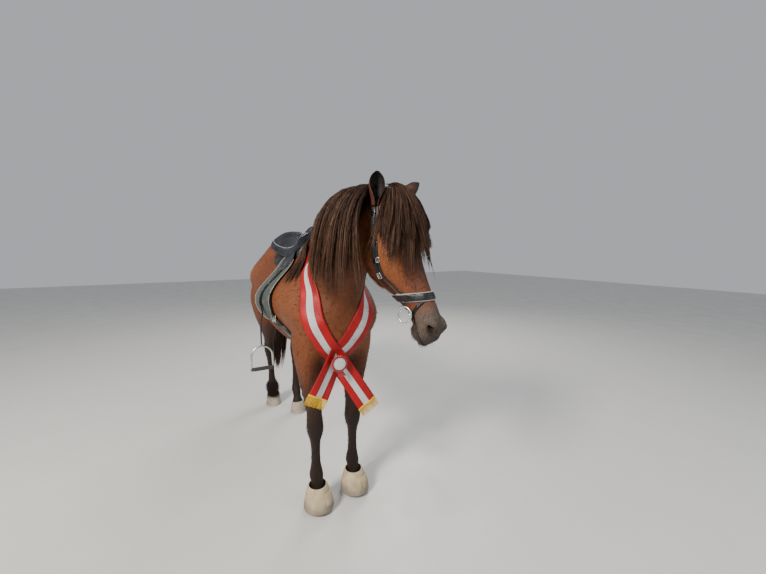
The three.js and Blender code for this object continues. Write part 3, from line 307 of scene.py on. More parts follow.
HEAD_PLACE = row_at(NECK_PATH, 1)
POLL_PLACE = turned(HEAD_PLACE, POLL[0], 0.0, POLL[1])
FACE_FRONT = np.array([math.cos(FACE_TURN), math.sin(FACE_TURN), 0])
FACE_LEFT = np.array([-math.sin(FACE_TURN), math.cos(FACE_TURN), 0])


def head_point(along, depth, left=0.0):
    """A point of the head: distance along the face, depth from it, and how far to the left."""
    along, depth, left = (np.asarray(v, float)[..., None] for v in np.broadcast_arrays(along, depth, left))
    front = along * math.cos(FACE_DROP) + depth * math.sin(FACE_DROP)
    rise = depth * math.cos(FACE_DROP) - along * math.sin(FACE_DROP)
    return POLL_PLACE + front * FACE_FRONT + left * FACE_LEFT + rise * UPWARD


HEAD_ORIGIN = head_point(0, 0, 0)
HEAD_AXES = np.array([head_point(*np.eye(3)[k]) - HEAD_ORIGIN for k in range(3)])
FACE_AXES = HEAD_AXES[[0, 2, 1]]


def in_head(points):
    """Distance along the face, depth from it and distance to the left of each point."""
    return (points - HEAD_ORIGIN) @ HEAD_AXES.T


def from_head(places):
    return HEAD_ORIGIN + places @ HEAD_AXES


# Rings and lofts


def width_at(row, t):
    upper = mix(row["high"], row["mid"], ease((t - 0.1) / 0.4))
    lower = mix(row["mid"], row["low"], ease((t - 0.5) / 0.38))
    return np.where(t < 0.5, upper, lower)


def body_ring(row, count, grow):
    angle = circle(count)
    down = (1 - np.cos(angle)) / 2
    sine = np.sin(angle)
    half = np.sign(sine) * np.abs(sine) ** 0.86 * (width_at(row, down) + grow)
    return 1 - down, half


def swell(points, middle):
    rise = np.zeros(len(points))
    for centre, reach, amount in MUSCLES:
        d = (points * [1, 0, 1] + np.abs(points) * [0, 1, 0] - centre) / reach
        rise += amount * np.exp(-(d * d).sum(1))
    return unit(points - middle) * rise[:, None]


def torso_ring(at, count, grow):
    row = row_at(TORSO, at)
    up, side = body_ring(row, count, grow)
    z = mix(row["bottom"] - grow, row["top"] + grow, up)
    ring = np.stack([np.full(count, at), side, z], 1)
    return ring + swell(ring, [at, 0, (row["bottom"] + row["top"]) / 2])


def neck_ring(at, count, grow):
    row = row_at(NECK, at)
    share = grow / math.hypot(row["topX"] - row["bottomX"], row["topZ"] - row["bottomZ"])
    up, side = body_ring(row, count, grow)
    k = mix(-share, 1 + share, up)
    x = mix(row["bottomX"], row["topX"], k)
    return turned(row_at(NECK_PATH, at), x, side, mix(row["bottomZ"], row["topZ"], k))


def head_ring(at, count, grow):
    row = row_at(HEAD, at)
    up, side = body_ring(row, count, grow)
    return head_point(at, mix(row["bottom"] - grow, row["top"] + grow, up), side)


def leg_ring(leg, at, count, grow):
    row = row_at(leg["rows"], at)
    swing = leg["swing"] * (HIP_HEIGHT - at) / HIP_HEIGHT
    angle = circle(count)
    c, s = np.cos(angle), np.sin(angle)
    reach = (row["front"] - row["back"]) / 2 + grow
    x = leg["axis"] + swing + (row["front"] + row["back"]) / 2 + np.sign(c) * np.abs(c) ** 0.92 * reach
    y = leg["sign"] * (row["out"] + np.sign(s) * np.abs(s) ** 0.92 * (row["half"] + grow))
    return np.stack([x, y, np.full(count, at)], 1)


def loft(rings):
    """Points and faces of a closed form through rings of one size."""
    count = len(rings[0])
    points = np.concatenate(list(rings) + [[np.mean(rings[0], 0)], [np.mean(rings[-1], 0)]])
    faces = []
    for i in range(len(rings) - 1):
        for j in range(count):
            a, b = i * count + j, i * count + (j + 1) % count
            faces.append((a, b, b + count, a + count))
    start, last = len(points) - 2, (len(rings) - 1) * count
    for j in range(count):
        k = (j + 1) % count
        faces.append((start, k, j))
        faces.append((start + 1, last + j, last + k))
    return points, faces


def looped(rings):
    """Points and faces of a form whose last ring meets its first."""
    count, total = len(rings[0]), len(rings)
    faces = []
    for i in range(total):
        here, then = i * count, (i + 1) % total * count
        for j in range(count):
            k = (j + 1) % count
            faces.append((here + j, here + k, then + k, then + j))
    return np.concatenate(rings), faces


def joined(parts):
    points, faces, base = [], [], 0
    for part_points, part_faces in parts:
        points.append(np.asarray(part_points, float))
        faces.extend(tuple(v + base for v in face) for face in part_faces)
        base += len(part_points)
    return np.concatenate(points), faces


def ball(centre, radii, axes=np.eye(3), around=28, down=18):
    rings = []
    for i in range(1, down):
        polar = math.pi * i / down
        angle = circle(around)
        local = np.stack(
            [
                radii[0] * np.sin(polar) * np.cos(angle),
                radii[1] * np.sin(polar) * np.sin(angle),
                np.full(around, radii[2] * math.cos(polar)),
            ],
            1,
        )
        rings.append(np.asarray(centre) + local @ axes)
    return loft(rings)


# Making objects

BODY = "root"


def place(obj, slot, replaced=()):
    bpy.context.scene.collection.objects.link(obj)
    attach(obj, BODY)
    if replaced:
        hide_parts(*replaced)
    return obj


def finish_mesh(mesh, material, smooth):
    mesh.materials.append(material)
    mesh.polygons.foreach_set("use_smooth", np.full(len(mesh.polygons), smooth))
    mesh.update()


def outward(mesh):
    made = bmesh.new()
    made.from_mesh(mesh)
    bmesh.ops.recalc_face_normals(made, faces=made.faces)
    made.to_mesh(mesh)
    made.free()


def make_piece(name, shape, material, slot, replaced=(), smooth=True, levels=0):
    points, faces = shape
    mesh = bpy.data.meshes.new(name)
    mesh.from_pydata(((points + SHIFT) / MM).tolist(), [], [tuple(map(int, f)) for f in faces])
    outward(mesh)
    finish_mesh(mesh, material, smooth)
    obj = bpy.data.objects.new(name, mesh)
    if levels:
        modifier = obj.modifiers.new("round", "SUBSURF")
        modifier.levels = modifier.render_levels = levels
    return place(obj, slot, replaced)


def paint(mesh, tint):
    colour = mesh.color_attributes.new("tint", "FLOAT_COLOR", "POINT")
    colour.data.foreach_set("color", np.column_stack([tint, np.ones(len(tint))]).ravel())


def make_large(name, points, triangles, material, slot, tint, uv=None, replaced=(), smooth=True):
    """A piece of many triangles, with a colour at each point."""
    mesh = bpy.data.meshes.new(name)
    mesh.vertices.add(len(points))
    mesh.vertices.foreach_set("co", ((points + SHIFT) / MM).ravel())
    mesh.loops.add(triangles.size)
    mesh.loops.foreach_set("vertex_index", triangles.ravel().astype(np.int32))
    mesh.polygons.add(len(triangles))
    starts = np.arange(0, triangles.size, triangles.shape[1], dtype=np.int32)
    mesh.polygons.foreach_set("loop_start", starts)
    mesh.update(calc_edges=True)
    paint(mesh, tint)
    if uv is not None:
        layer = mesh.uv_layers.new(name="OFBake")
        layer.data.foreach_set("uv", uv[triangles.ravel()].ravel())
    finish_mesh(mesh, material, smooth)
    return place(bpy.data.objects.new(name, mesh), slot, replaced)


# Materials


class Surface:
    """A procedural material: small helpers that add and link nodes."""

    def __init__(self, name, **settings):
        self.material = bpy.data.materials.new(name)
        self.material.use_nodes = True
        self.tree = self.material.node_tree
        self.shader = self.tree.nodes["Principled BSDF"]
        for key, value in settings.items():
            self.shader.inputs[key.replace("_", " ")].default_value = value

    def node(self, kind, inputs=None, **settings):
        made = self.tree.nodes.new("ShaderNode" + kind)
        for key, value in settings.items():
            setattr(made, key, value)
        for key, value in (inputs or {}).items():
            self.put(made.inputs[key], value)
        return made

    def put(self, socket, value):
        if isinstance(value, bpy.types.NodeSocket):
            self.tree.links.new(value, socket)
        else:
            socket.default_value = value

    def place(self, stretch=(1, 1, 1)):
        coordinates = self.node("TexCoord").outputs["Object"]
        return self.node("Mapping", {"Vector": coordinates, "Scale": stretch}).outputs[0]

    def noise(self, scale, stretch=(1, 1, 1), detail=4.0, distortion=0.0):
        inputs = {"Vector": self.place(stretch), "Scale": scale, "Detail": detail, "Distortion": distortion}
        return self.node("TexNoise", inputs).outputs["Fac"]

    def cells(self, scale, stretch=(1, 1, 1)):
        inputs = {"Vector": self.place(stretch), "Scale": scale}
        return self.node("TexVoronoi", inputs).outputs["Distance"]

    def ramp(self, fac, low, high):
        return self.node("MapRange", {"Value": fac, "From Min": low, "From Max": high}).outputs[0]

    def math(self, operation, a, b=0.0):
        made = self.node("Math", operation=operation)
        self.put(made.inputs[0], a)
        self.put(made.inputs[1], b)
        return made.outputs[0]

    def blend(self, fac, a, b, kind="MIX"):
        made = self.node("Mix", data_type="RGBA", blend_type=kind)
        self.put(made.inputs[0], fac)
        self.put(made.inputs[6], a)
        self.put(made.inputs[7], b)
        return made.outputs[2]

    def tint(self):
        return self.node("Attribute", attribute_name="tint").outputs["Color"]

    def across(self):
        """Place along (x) and across (y) a strip."""
        uv = self.node("UVMap", uv_map="strip").outputs[0]
        return self.node("SeparateXYZ", {"Vector": uv}).outputs

    def colour(self, value):
        self.put(self.shader.inputs["Base Color"], value)

    def roughness(self, value):
        self.put(self.shader.inputs["Roughness"], value)

    def bump(self, height, distance, strength=1.0):
        made = self.node("Bump", {"Height": height, "Distance": distance, "Strength": strength})
        previous = self.shader.inputs["Normal"]
        if previous.is_linked:
            self.put(made.inputs["Normal"], previous.links[0].from_socket)
        self.put(previous, made.outputs[0])


def rgba(r, g, b):
    return (r, g, b, 1.0)


def coat_material():
    s = Surface("coat", Specular_IOR_Level=0.22)
    hair_back = s.noise(8.0, (9, 52, 52), 4)
    hair_down = s.noise(8.0, (52, 52, 9), 4)
    limb = s.node("Attribute", attribute_name="limb").outputs["Fac"]
    hair = s.node("Mix", data_type="FLOAT")
    s.put(hair.inputs[0], limb)
    s.put(hair.inputs[2], hair_back)
    s.put(hair.inputs[3], hair_down)
    fine = hair.outputs[0]
    patch = s.noise(5.0, detail=5)
    shade = s.blend(s.ramp(patch, 0.3, 0.75), s.tint(), rgba(0.70, 0.62, 0.56), "MULTIPLY")
    colour = s.blend(s.ramp(fine, 0.38, 0.62), shade, rgba(0.5, 0.45, 0.42), "MULTIPLY")
    s.colour(colour)
    s.roughness(s.ramp(fine, -0.5, 1.2))
    s.bump(fine, 0.0022, 0.9)
    s.bump(s.noise(16.0, (3, 6, 6)), 0.005, 0.4)
    return s.material


def hair_material(name, roughness):
    s = Surface(name, Specular_IOR_Level=0.22)
    streak = s.noise(40.0, (9, 9, 1.2), 3)
    colour = s.blend(s.ramp(streak, 0.35, 0.7), s.tint(), rgba(0.55, 0.48, 0.43), "MULTIPLY")
    s.colour(colour)
    s.roughness(s.ramp(streak, -roughness, 1.3))
    s.bump(streak, 0.0008, 0.4)
    return s.material


def leather_material(name, colour, worn, roughness):
    s = Surface(name, Specular_IOR_Level=0.32, Coat_Weight=0.05, Coat_Roughness=0.3)
    grain = s.cells(700.0)
    wear = s.noise(28.0, detail=6)
    dust = s.noise(7.0, detail=5)
    base = s.blend(s.ramp(wear, 0.45, 0.75), rgba(*colour), rgba(*worn))
    s.colour(s.blend(s.ramp(dust, 0.55, 1.0), base, rgba(*[0.8 * w + 0.012 for w in worn])))
    s.roughness(s.ramp(wear, 0.75 - roughness * 2, 0.45 + roughness))
    s.bump(grain, 0.0006, 0.5)
    s.bump(s.noise(60.0), 0.001, 0.3)
    return s.material


def steel_material():
    s = Surface("steel", Metallic=1.0)
    scuff = s.noise(90.0, (1, 1, 4), 5)
    s.colour(s.blend(s.ramp(scuff, 0.4, 0.8), rgba(0.72, 0.72, 0.7), rgba(0.42, 0.4, 0.37)))
    s.roughness(s.ramp(scuff, -0.1, 1.9))
    s.bump(scuff, 0.0003, 0.3)
    return s.material


def horn_material():
    s = Surface("horn", Specular_IOR_Level=0.35)
    rings = s.noise(5.0, (3, 3, 90), 2)
    fibres = s.noise(30.0, (9, 9, 1), 3)
    dust = s.noise(9.0, detail=6)
    base = s.blend(s.ramp(rings, 0.35, 0.65), rgba(0.20, 0.155, 0.115), rgba(0.36, 0.30, 0.235))
    base = s.blend(s.ramp(fibres, 0.4, 0.75), base, rgba(0.14, 0.11, 0.085))
    s.colour(s.blend(s.ramp(dust, 0.35, 0.7), base, rgba(0.46, 0.40, 0.32)))
    s.roughness(s.ramp(dust, -1.2, 1.0))
    s.bump(rings, 0.002, 0.5)
    s.bump(fibres, 0.0008, 0.5)
    return s.material


def eye_material():
    s = Surface("eye_glass", Roughness=0.06, Specular_IOR_Level=0.7, Coat_Weight=1.0, Coat_Roughness=0.03)
    s.colour(s.blend(s.ramp(s.noise(300.0), 0.4, 0.7), s.tint(), rgba(0.5, 0.45, 0.4), "MULTIPLY"))
    return s.material


def shaded(colour, share):
    return rgba(*[share * c for c in colour])


def ribbon_material(name, ground, stripe, stripe_half=0.155):
    """Satin with a pale middle stripe, darker seams beside it and darker hems."""
    s = Surface(name, Specular_IOR_Level=0.3)
    along, across, _ = s.across()
    middle = s.math("ABSOLUTE", s.math("SUBTRACT", across, 0.5))
    weave = s.noise(900.0, (1, 1, 1), 2)
    cloud = s.noise(14.0, detail=4)
    red = s.blend(s.ramp(cloud, 0.35, 0.75), rgba(*ground), shaded(ground, 0.72))
    white = s.blend(s.ramp(cloud, 0.3, 0.75), rgba(*stripe), shaded(stripe, 0.82))
    colour = s.blend(s.ramp(middle, stripe_half + 0.006, stripe_half - 0.006), red, white)
    seam = s.math("ABSOLUTE", s.math("SUBTRACT", middle, stripe_half + 0.012))
    colour = s.blend(s.ramp(seam, 0.014, 0.004), colour, shaded(ground, 0.55))
    s.colour(s.blend(s.ramp(middle, 0.478, 0.49), colour, shaded(ground, 0.6)))
    s.roughness(s.ramp(cloud, -0.6, 1.7))
    threads = s.math("SINE", s.math("MULTIPLY", along, 2400.0))
    s.bump(threads, 0.00025, 0.5)
    s.bump(weave, 0.0004, 0.4)
    return s.material


def plain_material(name, colour, other, roughness, scale=60.0, bump=0.0006, **settings):
    s = Surface(name, **settings)
    grain = s.noise(scale, detail=6)
    s.colour(s.blend(s.ramp(grain, 0.35, 0.7), rgba(*colour), rgba(*other)))
    s.roughness(s.ramp(grain, 0.5 - roughness, 1.5 - roughness * 0.3))
    s.shader.inputs["Roughness"].default_value = roughness
    s.bump(grain, bump, 0.5)
    return s.material


def boot_material():
    """Cream rubber, with dust that thickens towards the ground."""
    s = Surface("boot_rubber", Specular_IOR_Level=0.25)
    grain = s.noise(26.0, detail=6)
    cream = s.blend(s.ramp(grain, 0.35, 0.7), rgba(0.50, 0.40, 0.25), rgba(0.34, 0.27, 0.17))
    height = s.node("SeparateXYZ", {"Vector": s.node("TexCoord").outputs["Object"]}).outputs[2]
    cloud = s.math("MULTIPLY", s.math("SUBTRACT", s.noise(18.0, detail=6), 0.5), 0.09)
    low = s.ramp(s.math("ADD", height, cloud), 0.075, 0.03)
    s.colour(s.blend(low, cream, rgba(0.20, 0.17, 0.13)))
    s.roughness(s.ramp(grain, -0.9, 1.0))
    s.bump(grain, 0.0012, 0.5)
    return s.material


COAT = coat_material()
HAIR = hair_material("hair", 0.8)
BLACK_LEATHER = leather_material("black_leather", (0.006, 0.006, 0.007), (0.016, 0.016, 0.016), 0.2)
SEAT_LEATHER = leather_material("seat_leather", (0.008, 0.009, 0.014), (0.022, 0.024, 0.034), 0.15)
FLAP_LEATHER = leather_material("flap_leather", (0.045, 0.055, 0.05), (0.085, 0.095, 0.088), 0.4)
PIPING = plain_material("piping", (0.30, 0.30, 0.28), (0.2, 0.2, 0.19), 0.6)
PADDING = plain_material("padding", (0.32, 0.31, 0.29), (0.2, 0.19, 0.18), 0.8, 120.0)
STEEL = steel_material()
HORN = horn_material()
EYE_GLASS = eye_material()
RED = (0.33, 0.0015, 0.004)
SILVER = (0.50, 0.49, 0.50)
SASH_SATIN = ribbon_material("sash_satin", RED, SILVER)
BADGE_SATIN = plain_material("badge_satin", SILVER, (0.5, 0.5, 0.5), 0.35, 90.0, Sheen_Weight=0.3)
GOLD_THREAD = plain_material("gold_thread", (0.80, 0.50, 0.008), (0.55, 0.30, 0.005), 0.6, 200.0)
RUBBER = boot_material()
TREAD_RUBBER = plain_material("tread_rubber", (0.02, 0.02, 0.02), (0.05, 0.05, 0.045), 0.8, 200.0)

# The skin: every part of the body lofted, fused, smoothed where parts meet, and given a face.

COAT_DEPTH = 2.5
VOXEL = 6.0
EYE = {"along": 208, "depth": -28, "out": 68, "radius": 20, "wide": 20.5, "tall": 12.5}
NOSTRIL = {"along": 548, "depth": -30, "out": 44, "tilt": 0.25, "wide": 20.0, "tall": 13.0, "deep": 30}
MOUTH = {"front": 602, "bend": 535, "corner": 474, "depth": -93, "lift": 5, "drop": 2}
CHIN = {"along": 532, "depth": -125, "radii": (34, 30, 20)}
NOSTRIL_WING = {"along": -14, "depth": 3, "out": -16, "radii": (34, 20, 27)}
BROW = {"along": 4, "depth": 13, "out": -8, "radii": (27, 20, 13)}

# Lids, nostril rims and lips: how far each stands out, where it lies and how wide it is.
LID = {"upper": 3.6, "lower": 2.8, "crease": 2.4, "crease_at": 2.7, "crease_wide": 0.55}
RIM = {"rise": 3.2, "at": 1.28, "wide": 0.22, "dip": 2.0, "dip_at": 2.1, "dip_wide": 0.4}
LIPS = {"groove": 8.0, "groove_wide": 1.9, "upper": 2.6, "lower": 3.0, "off": 9, "wide": 6}


def body_loft():
    g = -COAT_DEPTH
    parts = [
        loft([torso_ring(at, 72, g) for at in stations(TORSO, 130)]),
        loft([neck_ring(at, 64, g) for at in stations(NECK, 60)]),
        loft([head_ring(at, 64, g) for at in stations(HEAD, 110)]),
        ball(head_point(CHIN["along"], CHIN["depth"]), [r - 1 for r in CHIN["radii"]], FACE_AXES),
    ]
    for leg in LEGS.values():
        parts.append(loft([leg_ring(leg, at, 40, g) for at in stations(leg["rows"], 130)]))
    for sign in SIDES.values():
        for spot, swelling in ((EYE, BROW), (NOSTRIL, NOSTRIL_WING)):
            centre = head_point(
                spot["along"] + swelling["along"],
                spot["depth"] + swelling["depth"],
                sign * (spot["out"] + swelling["out"]),
            )
            radii = np.array(swelling["radii"]) - COAT_DEPTH
            parts.append(ball(centre, radii, FACE_AXES))
    return joined(parts)


def remeshed(shape, voxel):
    points, faces = shape
    mesh = bpy.data.meshes.new("rough")
    mesh.from_pydata(points.tolist(), [], faces)
    obj = bpy.data.objects.new("rough", mesh)
    bpy.context.scene.collection.objects.link(obj)
    modifier = obj.modifiers.new("fuse", "REMESH")
    modifier.mode = "VOXEL"
    modifier.voxel_size = voxel
    bpy.context.view_layer.update()
    done = bpy.data.meshes.new_from_object(obj.evaluated_get(bpy.context.evaluated_depsgraph_get()))
    bpy.data.objects.remove(obj)
    bpy.data.meshes.remove(mesh)
    return done


def read_back(items, key, width, kind=float):
    values = np.empty(len(items) * width, kind)
    items.foreach_get(key, values)
    return values.reshape(-1, width)


def points_of(mesh):
    return read_back(mesh.vertices, "co", 3)


def edges_of(mesh):
    return read_back(mesh.edges, "vertices", 2, np.int32)


def relaxed(points, edges, rounds, weight):
    """Points drawn towards the mean of their neighbours."""
    count = len(points)
    a, b = edges.T
    degree = np.maximum(np.bincount(a, minlength=count) + np.bincount(b, minlength=count), 1)
    p = points.copy()
    w = np.broadcast_to(np.asarray(weight, float), count)[:, None]
    for _ in range(rounds):
        total = np.empty_like(p)
        for k in range(3):
            total[:, k] = np.bincount(a, p[b, k], count) + np.bincount(b, p[a, k], count)
        p += w * (total / degree[:, None] - p)
    return p


def hump(value, at, wide):
    """1 at a place, falling to nothing either side of it."""
    return np.exp(-(((value - at) / wide) ** 2))


def near(points, centre, reach):
    """1 at a point, falling to nothing all round it."""
    d = (points - centre) / reach
    return np.exp(-(d * d).sum(-1))


def junctions(points):
    """Where the legs, neck and head grow out of the body, from 0 to 1."""
    side = np.abs(points[:, 1])
    x, z = points[:, 0], points[:, 2]
    fore = between(690, 800, z) * (1 - between(930, 1050, z))
    fore = fore * between(270, 340, x) * (1 - between(620, 680, x))
    hind = between(740, 850, z) * (1 - between(1120, 1210, z)) * (1 - between(-400, -290, x))
    neck = near(points, (520, 0, 1130), (150, 400, 260)) * between(40, 90, side)
    crest = near(points, (320, 0, 1360), (110, 80, 60))
    throat = near(points, head_point(40, -185), (85, 90, 85))
    breast = near(points, (650, 0, 960), (70, 150, 150))
    return np.clip(fore + hind + neck + crest + throat + 0.7 * breast, 0, 1)


# Forms of the head: distance along, depth and to the side, reach, and rise.
HEAD_FORMS = [
    ((250, -78, 82), (70, 11, 40), 3.5),
    ((205, -168, 66), (70, 60, 40), 5.0),
    ((118, -2, 62), (22, 16, 34), -6.0),
    ((300, -120, 60), (55, 26, 40), -5.0),
    ((380, -60, 45), (60, 30, 40), -2.5),
    ((430, -20, 30), (60, 18, 30), 2.0),
    ((585, -110, 16), (16, 14, 26), 4.0),
]


def shaped_head(points, normals):
    spot = in_head(points)
    side = np.abs(spot[:, 2])
    mirrored = np.column_stack([spot[:, 0], spot[:, 1], side])
    rise = np.zeros(len(points))
    for centre, reach, amount in HEAD_FORMS:
        rise += amount * near(mirrored, centre, reach)
    on_head = between(30, 75, spot[:, 0]) * (side < 130) * (spot[:, 1] > -260)
    return points + normals * (rise * on_head)[:, None]


def spot_axes(sign, forward, tilt=0.0):
    """Axes at a spot of the face: along, up and out of it."""
    along, up, left = HEAD_AXES
    out = unit(left * sign + along * forward)
    flat = unit(along - out * (along @ out))
    rise = np.cross(out, flat) * sign
    rise = rise * np.sign(rise @ up)
    c, s = math.cos(tilt), math.sin(tilt)
    return unit(flat * c + rise * s), unit(rise * c - flat * s), out


def with_eye(points, sign):
    centre = head_point(EYE["along"], EYE["depth"], sign * EYE["out"])
    along, up, out = spot_axes(sign, 0.12)
    q = points - centre
    u, v, w = q @ along, q @ up, q @ out
    close = (np.abs(u) < 70) & (np.abs(v) < 60) & (w > 0)
    arch = v - 1.5 * (1 - (u / EYE["wide"]) ** 2)
    opening = (u / EYE["wide"]) ** 2 + (arch / EYE["tall"]) ** 2
    flat = u * u + v * v
    radius = EYE["radius"]
    inside = np.sqrt(np.maximum((radius - 4) ** 2 - flat, 0))
    lid = radius + np.where(v > 0, LID["upper"], LID["lower"])
    over = np.sqrt(np.maximum(lid**2 - flat, 0))
    wrapped = mix(inside, np.maximum(over, w - 30), between(0.90, 1.12, opening))
    new = mix(wrapped, w, between(1.5, 4.6, opening))
    crease = LID["crease"] * hump(opening, LID["crease_at"], LID["crease_wide"]) * (v > -4)
    return points + out * np.where(close, new - w - crease, 0)[:, None]


def with_nostril(points, sign):
    centre = head_point(NOSTRIL["along"], NOSTRIL["depth"], sign * NOSTRIL["out"])
    along, up, out = spot_axes(sign, 0.55, NOSTRIL["tilt"])
    q = points - centre
    u, v, w = q @ along, q @ up, q @ out
    close = (np.abs(w) < 34) & (in_head(points)[:, 2] * sign > 4)
    bent = u - 0.012 * v * v
    opening = np.sqrt((bent / NOSTRIL["wide"]) ** 2 + (v / NOSTRIL["tall"]) ** 2)
    hole = NOSTRIL["deep"] * (1 - between(0.62, 1.0, opening))
    rim = RIM["rise"] * hump(opening, RIM["at"], RIM["wide"])
    dip = RIM["dip"] * hump(opening, RIM["dip_at"], RIM["dip_wide"])
    return points + out * ((rim - dip - hole) * close)[:, None]


def mouth_line(along):
    corner, bend, front = MOUTH["corner"], MOUTH["bend"], MOUTH["front"]
    return np.interp(
        along,
        [corner, bend, front],
        [MOUTH["depth"] + MOUTH["lift"], MOUTH["depth"], MOUTH["depth"] - MOUTH["drop"]],
    )


def with_mouth(points):
    spot = in_head(points)
    along, depth, _ = spot.T
    off = depth - mouth_line(along)
    on = between(MOUTH["corner"] - 6, MOUTH["corner"] + 10, along) * (np.abs(off) < 40)
    axis = np.column_stack([along - 6, mouth_line(along), np.zeros(len(points))])
    inward = unit(from_head(axis) - points)
    groove = LIPS["groove"] * hump(off, 0, LIPS["groove_wide"])
    upper = LIPS["upper"] * hump(off, LIPS["off"], LIPS["wide"])
    lower = LIPS["lower"] * hump(off, -LIPS["off"], LIPS["wide"])
    lips = upper + lower
    return points + inward * ((groove - lips) * on)[:, None]


def subdivided(mesh, chosen):
    made = bmesh.new()
    made.from_mesh(mesh)
    made.faces.ensure_lookup_table()
    edges = {e for i in np.flatnonzero(chosen) for e in made.faces[i].edges}
    bmesh.ops.subdivide_edges(made, edges=list(edges), cuts=1, use_grid_fill=True, smooth=0)
    made.to_mesh(mesh)
    made.free()


def head_places(mesh):
    """Each face's distance along the face of the head, depth from it and distance to its left."""
    return in_head(read_back(mesh.polygons, "center", 3)).T


def set_points(mesh, points):
    mesh.vertices.foreach_set("co", points.ravel())
    mesh.update()


def make_skin_mesh():
    """The body fused and relaxed, then made finer at the head, eyes and muzzle, and given its face."""
    mesh = remeshed(body_loft(), VOXEL)
    points = points_of(mesh)
    edges = edges_of(mesh)
    points = relaxed(points, edges, 6, 0.5)
    points = relaxed(points, edges, 90, 0.6 * junctions(points))
    set_points(mesh, points)
    along, depth, left = head_places(mesh)
    subdivided(mesh, (along > 50) & (depth > -240) & (np.abs(left) < 130))
    along, depth, left = head_places(mesh)
    side = np.abs(left)
    eye = (np.abs(along - EYE["along"]) < 46) & (np.abs(depth - EYE["depth"]) < 36) & (side > 40)
    muzzle = (along > 462) & (depth > -150) & (side < 100)
    subdivided(mesh, (eye & (side < 130)) | muzzle)
    points = points_of(mesh)
    points = relaxed(points, edges_of(mesh), 4, 0.5 * (in_head(points)[:, 0] > 50))
    set_points(mesh, points)
    points = shaped_head(points, read_back(mesh.vertices, "normal", 3))
    for sign in SIDES.values():
        points = with_eye(points, sign)
        points = with_nostril(points, sign)
    points = with_mouth(points)
    set_points(mesh, points)
    return mesh


# Colours of the coat, as linear red, green and blue.

BAY = np.array([0.165, 0.049, 0.018])
# SUNLIT_BAY is a painted highlight: the bay where sunlight falls on it.
SUNLIT_BAY = np.array([0.30, 0.104, 0.035])
DARK = np.array([0.055, 0.021, 0.012])
POINTS = np.array([0.022, 0.012, 0.009])
MUZZLE = np.array([0.105, 0.080, 0.064])
BLACK = np.array([0.012, 0.009, 0.008])
MANE_DARK = np.array([0.026, 0.013, 0.009])
MANE_MID = np.array([0.058, 0.026, 0.015])
# MANE_LIGHT is the colour of paler tips and of the painted sunlit highlight on some tufts.
MANE_LIGHT = np.array([0.17, 0.085, 0.048])


def coat_shades(points):
    """Each tone that lies over the bay, with how much of it there is at each point: some are the coat's own
    colours, some painted highlight and painted shade.
    """
    x, y, z = points.T
    head = in_head(points)
    along, depth, left = head.T
    face = head * [1, 1, 0]
    on_head = (along > 20) & (depth > -250) & (np.abs(left) < 130) & (x > 640)
    knee = np.where(x > 0, 560, 640)
    lips = hump(depth, mouth_line(along), 12) * between(466, 490, along)
    shades = [
        # Painted highlight on the shoulder and the rump, where sunlight falls.
        (SUNLIT_BAY, 0.75 * near(points, (380, 0, 1000), (300, 900, 230))),
        (SUNLIT_BAY, 0.8 * near(points, (-600, 0, 1150), (330, 900, 260))),
        (DARK, 0.65 * between(1255, 1380, z) * (x < 250) * (np.abs(y) < 120)),
        # Painted shade on the lower neck, under the head.
        (DARK, 0.55 * near(points, (620, 0, 1180), (170, 400, 170))),
        # Painted shade under the belly and the chest.
        (DARK, 0.45 * (1 - between(740, 820, z)) * (np.abs(y) < 150)),
        (DARK, 1 - between(knee, knee + 190, z)),
        (POINTS, 1 - between(knee - 130, knee + 20, z)),
        # Painted highlight on the cheek, where sunlight falls.
        (SUNLIT_BAY, on_head * 0.85 * near(face, (215, -110, 0), (140, 75, 1))),
        # Painted shadow of the forelock down the front of the face.
        (DARK, on_head * 0.8 * between(-46, 4, depth) * (1 - between(330, 420, along))),
        (DARK, on_head * 0.55 * near(face, (365, -30, 0), (80, 30, 1))),
        (MUZZLE, on_head * between(425, 500, along)),
        (BLACK * 2.5, on_head * between(535, 585, along) * 0.75),
        (BLACK * 2, on_head * lips * 0.85),
    ]
    for sign in SIDES.values():
        eye = head_point(EYE["along"], EYE["depth"], sign * (EYE["out"] + 14))
        hole = head_point(NOSTRIL["along"], NOSTRIL["depth"], sign * (NOSTRIL["out"] - 2))
        shades.append((BLACK * 2, 1.15 * near(points, eye, 24.0)))
        # Painted shade in the nostril hole.
        shades.append((BLACK, 1.2 * near(points, hole, 21.0)))
    return shades


def coat_tint(points):
    colour = np.tile(BAY, (len(points), 1))
    for shade, amount in coat_shades(points):
        colour = mix(colour, shade, np.clip(amount, 0, 1)[:, None])
    return colour


def limb_share(points):
    z = points[:, 2]
    return 1 - between(700, 900, z) * (points[:, 0] < 700)


# Ears: cupped leaves that open forward and out.

EAR = {"along": 4, "out": 63, "length": 112, "wall": 4, "lean": 8.4}
EAR_DEPTH = {"right": -44, "left": -30}
EAR_SHAPE = table(
    "at radius wrap",
    [
        (-0.19, 17, 2.9),
        (0, 21, 2.75),
        (0.2, 27, 2.4),
        (0.42, 33, 2.05),
        (0.64, 32, 1.8),
        (0.84, 24, 1.6),
        (1, 7, 1.4),
    ],
)

# How each ear is held, as shares up, out to its side and forward: the left one lies out.
EAR_LIE = {
    "right": {"up": np.array([1, 0, 0.1]), "open": np.array([0, 0.75, 1])},
    "left": {"up": np.array([0.72, 0.62, 0.7]), "open": np.array([-0.4, 0.9, 0.2])},
}


def ear_frame(sign):
    name = "left" if sign > 0 else "right"
    foot = head_point(EAR["along"], EAR_DEPTH[name], sign * EAR["out"])
    side = HEAD_AXES[2] * sign
    lie = EAR_LIE[name]
    ways = np.array([UPWARD, side, FACE_FRONT])
    up = unit(lie["up"] @ ways)
    opening = lie["open"] @ ways
    opening = unit(opening - up * (opening @ up))
    return foot, up, opening, np.cross(up, opening)


